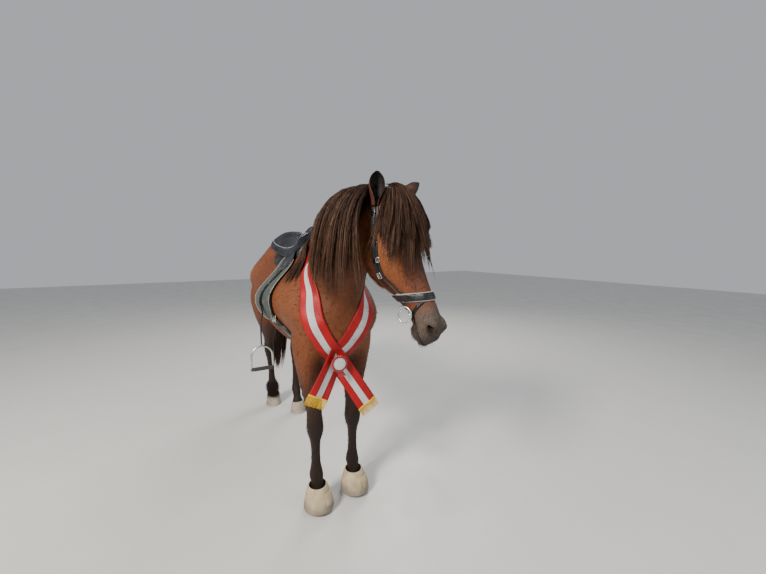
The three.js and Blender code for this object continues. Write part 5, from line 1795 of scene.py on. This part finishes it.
def make_rosette():
    """A pleated ring, a plain satin disc with its rim, and a short tab below."""
    centre = SASH["crossing"] + AHEAD * ROSETTE["ahead"] - UPWARD * ROSETTE["drop"]
    angle = circle(ROSETTE["steps"])
    wave = np.sin(angle * ROSETTE["pleats"])
    pleat = np.sign(wave) * np.abs(wave) ** 0.6

    def ring_of(radius, ahead):
        ring = ring_path(centre, LEFTWARD, UPWARD, radius, ROSETTE["steps"])
        return ring + AHEAD * np.broadcast_to(ahead, len(angle))[:, None]

    rings = [ring_of(radius, lift + depth * pleat) for radius, lift, depth in ROSETTE_RINGS]
    rings += [ring - AHEAD * ROSETTE["thick"] for ring in reversed(rings)]
    disc = [ring_of(radius, lift) for radius, lift in ROSETTE_DISC]
    rim = ring_path(centre + AHEAD * 3.0, LEFTWARD, UPWARD, ROSETTE["rim"], 72)
    tab = []
    for t in np.linspace(0, 1, 24):
        wide = 13 + 5 * t
        middle = centre + LEFTWARD * 16 * t - UPWARD * (30 + 30 * t)
        middle = middle + AHEAD * (-1.0 - 3 * t + 2.2 * math.sin(9 * t))
        shares = np.linspace(-1, 1, 9)[:, None]
        tab.append(middle + LEFTWARD * wide * shares + AHEAD * 2.0 * np.cos(4 * shares))
    return [
        make_piece("rosette_pleats", loft(rings), RED_PLEATS, "ribbon", ["rosette"]),
        make_piece("rosette_disc", loft(disc), BADGE_SATIN, "badge", ["rosette_centre"]),
        make_piece("rosette_rim", tube(rim, 1.1, 8, True), BADGE_SATIN, "badge"),
        make_strip("rosette_tab", np.array(tab), AHEAD, 0.4, 0.9, RED_PLEATS, "ribbon"),
    ]


RED_PLEATS = plain_material("red_pleats", RED, tuple(0.6 * c for c in RED), 0.45, 60.0, Sheen_Weight=0.3)


def dress_sash():
    rosette = make_rosette()
    for side, (obj, whole, length) in make_sash().items():
        fringe = make_fringe(side, whole[-2:])


dress_sash()

# The bridle, in distance along the face and depth from it.


LEATHER = (BLACK_LEATHER, "leather")


def head_strip(name, places, half, angles, lift, thick, material=BLACK_LEATHER, replaced=()):
    """A strap in the plane through two places of the head and straight across it."""
    a, b = (head_point(*place) for place in places)
    offsets = np.linspace(-1, 1, 7) * half
    grid, guess = wrap((a + b) / 2, unit(b - a), HEAD_AXES[2], angles, offsets, 80, 300)
    make_strip(name, grid, guess, lift, thick, material, "leather", replaced)


CROWN = ((-54, -34), (300, -160))
NOSE = ((436, 20), (374, -160))
BROW_BAND = ((52, 40), (38, -80))


FLASH = ((414, 20), (500, -150))
CHEEK_STRAP = ((-10, -50), (140, -103), (300, -160), (370, -135), (436, -112))
BIT_HANGER = ((-10, -34), (120, -78), (290, -138), (392, -84))


def side_strap(name, places, half, sign, lift, thick, replaced=(), columns=7, rows=60):
    """A strap on one side of the head through places of it."""
    places = resampled(np.array(places, float), rows)
    places[2:-2] = (places[:-4] + places[4:] + places[2:-2]) / 3
    run = unit(np.gradient(places, axis=0))
    grid = np.empty((rows, columns, 3))
    for i, (spot, way) in enumerate(zip(places, run)):
        for j, share in enumerate(np.linspace(-1, 1, columns)):
            along, depth = spot + np.array([-way[1], way[0]]) * share * half
            hit, _ = cast(head_point(along, depth, sign * 200), -HEAD_AXES[2] * sign)
            if hit is None:
                hit = grid[i, j - 1] if j else grid[i - 1, j]
            grid[i, j] = hit
    make_strip(name, grid, HEAD_AXES[2] * sign, lift, thick, *LEATHER, replaced)
    return grid


def buckle(name, centre, along, across, out, length=24, width=22, wire=2.0):
    """A roller buckle: a frame and its tongue."""
    corners = np.array([(-1, -1), (1, -1), (1, 1), (-1, 1)]) * [length / 2, width / 2]
    path = np.array([mix(corners[k], corners[(k + 1) % 4], t) for k in range(4) for t in (0.12, 0.5, 0.88)])
    frame_path = centre + path[:, :1] * along + path[:, 1:] * across + out * 3.5
    bends = ((-1, 4), (-0.4, 6), (0.3, 6.2), (1.05, 4.6))
    tongue = [centre + along * s * length / 2 + out * h for s, h in bends]
    shape = joined([tube(frame_path, wire, 8, True), tube(tongue, wire * 0.7, 8)])
    return make_piece(name, shape, STEEL, "steel")


def strap_buckle(name, grid, row, length=24, width=22):
    middle = grid.shape[1] // 2
    along = unit(grid[row + 1, middle] - grid[row - 1, middle])
    across = unit(grid[row, -1] - grid[row, 0])
    out = unit(np.cross(along, across))
    out = out * np.sign(out @ (grid[row, middle] - head_point(200, -100)))
    return buckle(name, grid[row, middle], along, across, out, length, width)


def make_bridle():
    full = np.linspace(-math.pi, math.pi, 200)
    over = np.linspace(0.62 * math.pi, 1.38 * math.pi, 90)
    brow = np.linspace(0.5 * math.pi, 1.5 * math.pi, 120)
    head_strip("bridle_crown", CROWN, 10, over, 2.6, 3.2, replaced=["bridle_crownpiece"])
    head_strip("bridle_brow", BROW_BAND, 8, brow, 1.5, 3.0, replaced=["bridle_browband"])
    head_strip("bridle_nose_pad", NOSE, 17, full, 0.4, 5.0, PADDING)
    head_strip("bridle_nose", NOSE, 13, full, 4.4, 3.4, replaced=["bridle_noseband"])
    head_strip("bridle_flash", FLASH, 7, full, 1.0, 2.6)
    for side, sign in SIDES.items():
        replaced = [f"bridle_cheek_{side}"]
        cheek = side_strap(f"bridle_cheek_{side}_strap", CHEEK_STRAP, 9, sign, 1.2, 3.2, replaced)
        hanger = side_strap(f"bridle_hanger_{side}", BIT_HANGER, 6, sign, 0.8, 2.6)
        strap_buckle(f"buckle_cheek_{side}", cheek, 38)
        strap_buckle(f"buckle_hanger_{side}", hanger, 34, 18, 16)
        for n, row in enumerate((32, 44)):
            keeper = cheek[row - 1 : row + 2]
            make_strip(f"keeper_{side}_{n}", keeper, HEAD_AXES[2] * sign, 3.6, 1.6, *LEATHER)
        make_bit(side, sign)


BIT = {"along": 458, "depth": -106, "out": 62, "ring": 31, "wire": 3.6, "inner": 30}
CHEEK_RING = {"along": 434, "depth": -112, "out": 56, "ring": 9, "wire": 2.0}


def make_bit(side, sign):
    centre = head_point(BIT["along"], BIT["depth"], sign * BIT["out"])
    along, up, left = HEAD_AXES
    ring = ring_path(centre, along, up, BIT["ring"], 48)
    ring = tube(ring, BIT["wire"], 12, True)
    make_piece(f"bit_ring_{side}_bar", ring, STEEL, "steel", [f"bit_ring_{side}"])
    inner = head_point(BIT["along"], BIT["depth"], sign * BIT["inner"])
    start = centre + along * 10 + up * 27
    path = [start + left * sign * 4, mix(start, inner, 0.35), mix(start, inner, 0.8), inner]
    make_piece(f"bit_bar_{side}", tube(path, [6, 7, 7.5, 6], 12), STEEL, "steel")
    hook_at = head_point(CHEEK_RING["along"], CHEEK_RING["depth"], sign * CHEEK_RING["out"])
    hook = ring_path(hook_at, along, up, CHEEK_RING["ring"], 24)
    make_piece(f"cheek_ring_{side}", tube(hook, CHEEK_RING["wire"], 8, True), STEEL, "steel")


make_bridle()

# The saddle

PANEL_GROW = 20
FLAP_GROW = 24
FLAP_OUTLINE = [
    (-30, 1262),
    (150, 1262),
    (222, 1210),
    (262, 1130),
    (262, 1060),
    (225, 975),
    (165, 925),
    (90, 915),
    (40, 950),
    (-5, 1040),
    (-25, 1150),
]
SEAT = table(
    "at top bottom high mid low",
    [
        (-262, 1392, 1330, 30, 40, 30),
        (-250, 1416, 1280, 96, 120, 110),
        (-215, 1420, 1250, 130, 158, 140),
        (-150, 1382, 1240, 128, 160, 150),
        (-60, 1352, 1230, 92, 128, 140),
        (40, 1362, 1230, 62, 104, 130),
        (130, 1400, 1260, 52, 88, 110),
        (172, 1430, 1300, 44, 70, 80),
        (194, 1425, 1350, 24, 36, 30),
    ],
)


def side_hit(x, z, sign):
    """The skin straight in from the side, or above the back the place that is next below."""
    for drop in range(0, 120, 6):
        hit, _ = cast((x, sign * 450.0, z - drop), -LEFTWARD * sign)
        if hit is not None:
            return np.array([x, hit[1], z])
    return np.array([x, 0.0, z])


def rounded(outline, count):
    """A closed smooth outline through corners."""
    corners = np.array(outline, float)
    ring = []
    for k in range(len(corners)):
        p0, p1, p2, p3 = (corners[(k + i - 1) % len(corners)] for i in range(4))
        turn, bend = 2 * p0 - 5 * p1 + 4 * p2 - p3, 3 * p1 - p0 - 3 * p2 + p3
        for t in np.linspace(0, 1, 12, endpoint=False):
            ring.append(0.5 * (2 * p1 + (p2 - p0) * t + turn * t * t + bend * t**3))
    ring = np.array(ring)
    return resampled(np.concatenate([ring, ring[:1]]), count + 1)[:-1]


def side_rings(outline, middle, shares, sign, drop=0.0):
    """An outline drawn in to its middle share by share, on the skin seen from the side."""
    rings = [mix(np.array(middle), outline, share) for share in shares]
    return [(ring, np.array([side_hit(x, z - drop, sign) for x, z in ring])) for ring in rings]


FLAP_MIDDLE = (110.0, 1090.0)
FLAP_SHARES = (0.02, 0.25, 0.5, 0.72, 0.88, 0.96, 1.0)
KNEE_ROLL = {"at": (215, 1090), "reach": (40, 90), "rise": 2.5}
SKIRT_OUTLINE = [(20, 1285), (150, 1290), (190, 1240), (160, 1185), (90, 1165), (30, 1200)]
SKIRT_MIDDLE = (105.0, 1230.0)


def make_flap(side, sign):
    """The long flap with its knee roll and piped edge, and the sweat flap under it."""
    outline = rounded(FLAP_OUTLINE, 96)
    out = LEFTWARD * sign
    outer, inner = [], []
    for share, (ring, hits) in zip(FLAP_SHARES, side_rings(outline, FLAP_MIDDLE, FLAP_SHARES, sign)):
        roll = KNEE_ROLL["rise"] * near(ring, KNEE_ROLL["at"], KNEE_ROLL["reach"])
        outer.append(hits + out * (FLAP_GROW - 3 - 5 * share**8 + roll)[:, None])
        inner.append(hits + out * (FLAP_GROW - 9))
    shape = loft(outer + inner[::-1])
    make_piece(f"flap_{side}", shape, FLAP_LEATHER, "flap", [f"saddle_flap_{side}"])
    piping = tube(outer[-1] + out * 0.4, 2.0, 8, True)
    make_piece(f"flap_edge_{side}", piping, PIPING, "flap")
    sweat = [hits for _, hits in side_rings(outline, FLAP_MIDDLE, (0.02, 0.5, 0.97), sign, 8)]
    shape = loft([ring + out * 13.5 for ring in sweat] + [ring + out * 3.0 for ring in sweat[::-1]])
    make_piece(f"sweat_flap_{side}", shape, *LEATHER)


def make_skirt(side, sign):
    """The small flap that covers the stirrup bar."""
    outline = rounded(SKIRT_OUTLINE, 60)
    shares = (0.02, 0.5, 0.85, 1.0)
    out = LEFTWARD * sign
    outer, inner = [], []
    for share, (_, hits) in zip(shares, side_rings(outline, SKIRT_MIDDLE, shares, sign)):
        outer.append(hits + out * (FLAP_GROW + 3 - 3 * share**6))
        inner.append(hits + out * (FLAP_GROW - 3))
    make_piece(f"skirt_{side}", loft(outer + inner[::-1]), SEAT_LEATHER, "leather")


def seat_ring(at, count, grow=0.0):
    row = row_at(SEAT, at)
    up, side = body_ring(row, count, grow)
    return np.stack([np.full(count, at), side, mix(row["bottom"] - grow, row["top"] + grow, up)], 1)


SEAT_SIDES = 72
WELT_AT = {"right": 58, "left": 14}
PAD = {"from": -250, "to": 188, "half": 148}


def make_saddle():
    rings = []
    for at in stations(SEAT, 80):
        ring = seat_ring(at, SEAT_SIDES)
        floor = np.array([torso_top(x, y) for x, y, _ in ring])
        ring[:, 2] = np.maximum(ring[:, 2], floor + PANEL_GROW - 8)
        rings.append(ring)
    make_piece("seat", loft(rings), SEAT_LEATHER, "leather", ["saddle_seat"])
    panel = []
    for at in np.linspace(PAD["from"], PAD["to"], 70):
        ahead = 0.35 * between(80, PAD["to"], at)
        behind = 0.12 * (1 - between(PAD["from"], -180, at))
        half = PAD["half"] * (1 - ahead) * (1 - behind)
        backs = [(v, torso_top(at, v)) for v in np.linspace(-half, half, 40)]
        top = [(at, v, z + PANEL_GROW - 2 - 10 * (abs(v) / half) ** 6) for v, z in backs]
        low = [(at, v, z + 1.5) for v, z in backs]
        panel.append(np.array(top + low[::-1]))
    make_piece("saddle_pad", loft(panel), BLACK_LEATHER, "leather", ["saddle_panel"])
    for side, sign in SIDES.items():
        make_flap(side, sign)
        rings = [seat_ring(at, SEAT_SIDES) for at in np.linspace(-254, 186, 70)]
        welt = [ring[WELT_AT[side]] + LEFTWARD * sign for ring in rings]
        make_piece(f"seat_welt_{side}", tube(welt, 2.2, 8), PIPING, "leather")
        make_skirt(side, sign)
    cantle = seat_ring(-246, SEAT_SIDES, 1.0)
    arc = np.concatenate([cantle[WELT_AT["right"] :], cantle[: WELT_AT["left"] + 1]])
    make_piece("cantle_edge", tube(arc, 3.4, 10), PIPING, "leather")


def torso_top(x, y):
    hit, _ = cast((x, y, 1700.0), -UPWARD)
    return hit[2]


GIRTH = {"normal": unit([1, 0, 0.22]), "point": np.array([232.0, 0, 740]), "half": 38, "billet_top": 1010}


def make_girth():
    """Two halves of a broad girth, each with two billets that buckle to it."""
    centre = np.array([218.0, 0, 960])
    u, v = in_plane_axes(GIRTH["normal"], -UPWARD)
    v = v * np.sign(v[1])
    centre = centre + GIRTH["normal"] * ((GIRTH["point"] - centre) @ GIRTH["normal"])
    columns = 13
    angles = np.linspace(0.002, 1.42, 90)
    offsets = np.linspace(-1, 1, columns) * GIRTH["half"]
    for side, sign in SIDES.items():
        out = LEFTWARD * sign
        grid, guess = wrap(centre, u, v * sign, angles, offsets, 70)
        make_strip(f"girth_{side}_strap", grid, guess, 1.5, 5.6, *LEATHER, [f"girth_{side}"])
        for n, share in enumerate((0.26, 0.74)):
            x, _, low = grid[-1][int(share * (columns - 1))]
            billet = np.array(
                [
                    [side_hit(x + dx - 0.15 * (z - low), z, sign) for dx in (-11, -5, 0, 5, 11)]
                    for z in np.linspace(low - 30, GIRTH["billet_top"], 24)
                ]
            )
            make_strip(f"billet_{side}_{n}", billet, out, 9.0, 3.2, *LEATHER)
            at = billet[7, 2] + out * 11.0
            buckle(f"buckle_girth_{side}_{n}", at, UPWARD, AHEAD, out, 34, 30, 2.6)


def softened(angle, half, power=0.4):
    """Half sizes of a block with round corners, at each angle round it."""
    c, s = np.cos(angle), np.sin(angle)
    return half[0] * np.sign(c) * np.abs(c) ** power, half[1] * np.sign(s) * np.abs(s) ** power


def make_stirrups():
    x, tread, half = STIRRUP["x"], STIRRUP["tread"], STIRRUP["half"]
    inner = half - STIRRUP["wire"]
    shoulder = STIRRUP["top"] - half
    for side, sign in SIDES.items():
        y = sign * STIRRUP["y"]
        first_leg = [(-inner - 0.02 * (shoulder - z), z) for z in np.linspace(tread + 2, shoulder, 10)]
        arch = [(inner * math.cos(a), shoulder + inner * math.sin(a)) for a in np.linspace(math.pi, 0, 30)]
        last_leg = [(-a, z) for a, z in first_leg[::-1]]
        bow = np.array([[x, y + a, z] for a, z in first_leg + arch[1:-1] + last_leg])
        eye = [(x + 15 * math.cos(t), y, STIRRUP["top"] - 2 + 7 * math.sin(t)) for t in circle(24)]
        shape = joined([tube(bow, 5.6, 12), tube(eye, 3.0, 8, True)])
        make_piece(f"stirrup_{side}_bow", shape, STEEL, "steel", [f"stirrup_iron_{side}"])
        rows = []
        for rise, inset in ((-6, 3), (-3, 0), (3, 0), (5.5, 3)):
            cx, cy = softened(circle(48), (19 - inset, half - inset))
            rows.append(np.stack([x + cx, y + cy, np.full(48, tread + rise)], 1))
        ribs = []
        for across in np.linspace(-48, 48, 17):
            ribs.append(tube([(x + end, y + across, tread + 5.6) for end in (-14, 14)], 1.6, 6))
        shape = joined([loft(rows)] + ribs)
        make_piece(f"stirrup_{side}_pad", shape, TREAD_RUBBER, "leather", [f"stirrup_tread_{side}"])
        make_leather(side, sign)


def make_leather(side, sign):
    """The doubled strap that carries the iron."""
    for n, shift in enumerate((-2.4, 2.4)):
        rows = []
        for z in np.linspace(STIRRUP["top"] + 3, 1190, 40):
            hit = side_hit(STIRRUP["x"], max(z, 930), sign)
            y = sign * max(abs(hit[1]) + FLAP_GROW + 3.0 + shift, 0)
            pull = between(1010, 900, z) if z < 1010 else 0.0
            y = mix(y, sign * (STIRRUP["y"] + shift * 0.6), pull)
            rows.append([(STIRRUP["x"] + dx, y, z) for dx in (-13, -7, 0, 7, 13)])
        replaced = [f"stirrup_leather_{side}"] if n == 0 else []
        make_strip(f"leather_{side}_{n}", np.array(rows), LEFTWARD * sign, 0.2, 2.2, *LEATHER, replaced)


make_saddle()
make_girth()
make_stirrups()

# Hooves and bell boots

HOOF = table(
    "at front back half",
    [(0, 92, -40, 61), (12, 88, -40, 60), (50, 74, -36, 54), (84, 60, -31, 46)],
)
BOOT = table(
    "at front back half",
    [(17, 106, -54, 75), (60, 92, -50, 68), (98, 70, -44, 55), (116, 58, -40, 46)],
)


GROWTH = {"rise": 0.35, "pitch": 0.55}
HOOF_SLOPE = 0.36


def hoof_axis(leg):
    return leg["axis"] if leg["rows"] is FORE_LEG else HIND_HOOF_AXIS + leg["swing"]


def round_ring(rows, at, leg, count, grow=0.0):
    row = row_at(rows, at)
    angle = circle(count)
    reach = (row["front"] - row["back"]) / 2 + grow
    x = hoof_axis(leg) + (row["front"] + row["back"]) / 2 + reach * np.cos(angle)
    y = leg["rows"]["out"][0] * leg["sign"] + (row["half"] + grow) * np.sin(angle)
    return np.stack([x, y, np.full(count, float(at))], 1)


def make_hoof(name, leg):
    """Horn with fine growth rings, a rounded ground edge and a band that slopes back."""
    rings = []
    front = hoof_axis(leg) + 60
    foot = [(0, -8), (0, -1.5), (1.5, -0.4), (4, 0)]
    for at, grow in foot + [(z, 0.0) for z in np.linspace(8, 80, 26)]:
        growth = GROWTH["rise"] * math.sin(at * GROWTH["pitch"])
        ring = round_ring(HOOF, at, leg, 72, grow + growth)
        slope = HOOF_SLOPE * (ring[:, 0] - front) / 132 * (at / 80)
        ring[:, 2] = np.maximum(at + slope * 40, 0)
        rings.append(ring)
    top = rings[-1].copy()
    inset = mix(top.mean(0), top, 0.86) + np.array([0, 0, 3.0])
    make_piece(f"{name}_wall", loft(rings + [inset]), HORN, "hoof", [f"{name}_hoof"])


def make_boot(name, leg):
    """A bell of rubber with a rib near each edge, and a closing tab."""
    outer, inner = [], []
    for at in stations(BOOT, 34):
        rib = 1.2 * hump(at, 104, 3.0) + hump(at, 22, 4.0)
        outer.append(round_ring(BOOT, at, leg, 96, rib))
        inner.append(round_ring(BOOT, at, leg, 96, -4.5))
    rolled = round_ring(BOOT, BOOT["at"][-1], leg, 96, -2.0) + UPWARD * 2.5
    shape = looped(outer + [rolled] + inner[::-1])
    make_piece(f"{name}_bell", shape, RUBBER, "boot", [f"boot_{name}"])
    grid = np.array([round_ring(BOOT, at, leg, 96, 2.0)[4:17] for at in np.linspace(44, 92, 16)])
    out = grid - np.array([hoof_axis(leg) + 20, leg["rows"]["out"][0] * leg["sign"], 60])
    make_strip(f"{name}_tab", grid, unit(out), 0.6, 2.6, RUBBER, "boot")


for leg_name, leg_facts in LEGS.items():
    make_hoof(leg_name, leg_facts)
    if leg_facts["rows"] is FORE_LEG:
        make_boot(leg_name, leg_facts)

# The floor, the sky and the lamps


FLOOR_HALF = 14
SKY = {"colour": (0.88, 0.92, 0.97), "strength": 0.5}
LAMPS = [
    {"name": "key", "at": (2.2, -3.9, 4.0), "watts": 470, "size": 1.2, "colour": (1.0, 0.94, 0.85)},
    {"name": "fill", "at": (3.6, 2.2, 2.4), "watts": 60, "size": 2.4, "colour": (0.9, 0.95, 1.0)},
    {"name": "back", "at": (-3.0, 2.6, 3.6), "watts": 120, "size": 1.8, "colour": (1.0, 0.98, 0.95)},
]
LAMPS_AIM = (0.2, 0, 0.9)


def make_floor():
    mesh = bpy.data.meshes.new("floor")
    corners = [(x * FLOOR_HALF, y * FLOOR_HALF, 0) for x, y in ((-1, -1), (1, -1), (1, 1), (-1, 1))]
    mesh.from_pydata(corners, [], [(0, 1, 2, 3)])
    floor = bpy.data.objects.new("floor", mesh)
    mesh.materials.append(plain_material("floor_pale", (0.60, 0.59, 0.57), (0.57, 0.56, 0.54), 0.8, 3.0))
    bpy.context.scene.collection.objects.link(floor)


def make_light():
    world = bpy.data.worlds.new("sky")
    world.use_nodes = True
    sky = world.node_tree.nodes["Background"].inputs
    sky[0].default_value = rgba(*SKY["colour"])
    sky[1].default_value = SKY["strength"]
    bpy.context.scene.world = world
    for lamp in LAMPS:
        data = bpy.data.lights.new(lamp["name"], "AREA")
        data.energy = lamp["watts"]
        data.size = lamp["size"]
        data.color = lamp["colour"]
        obj = bpy.data.objects.new(lamp["name"], data)
        obj.location = lamp["at"]
        aim = Vector(LAMPS_AIM) - Vector(lamp["at"])
        obj.rotation_euler = aim.to_track_quat("-Z", "Y").to_euler()
        bpy.context.scene.collection.objects.link(obj)


make_floor()
make_light()
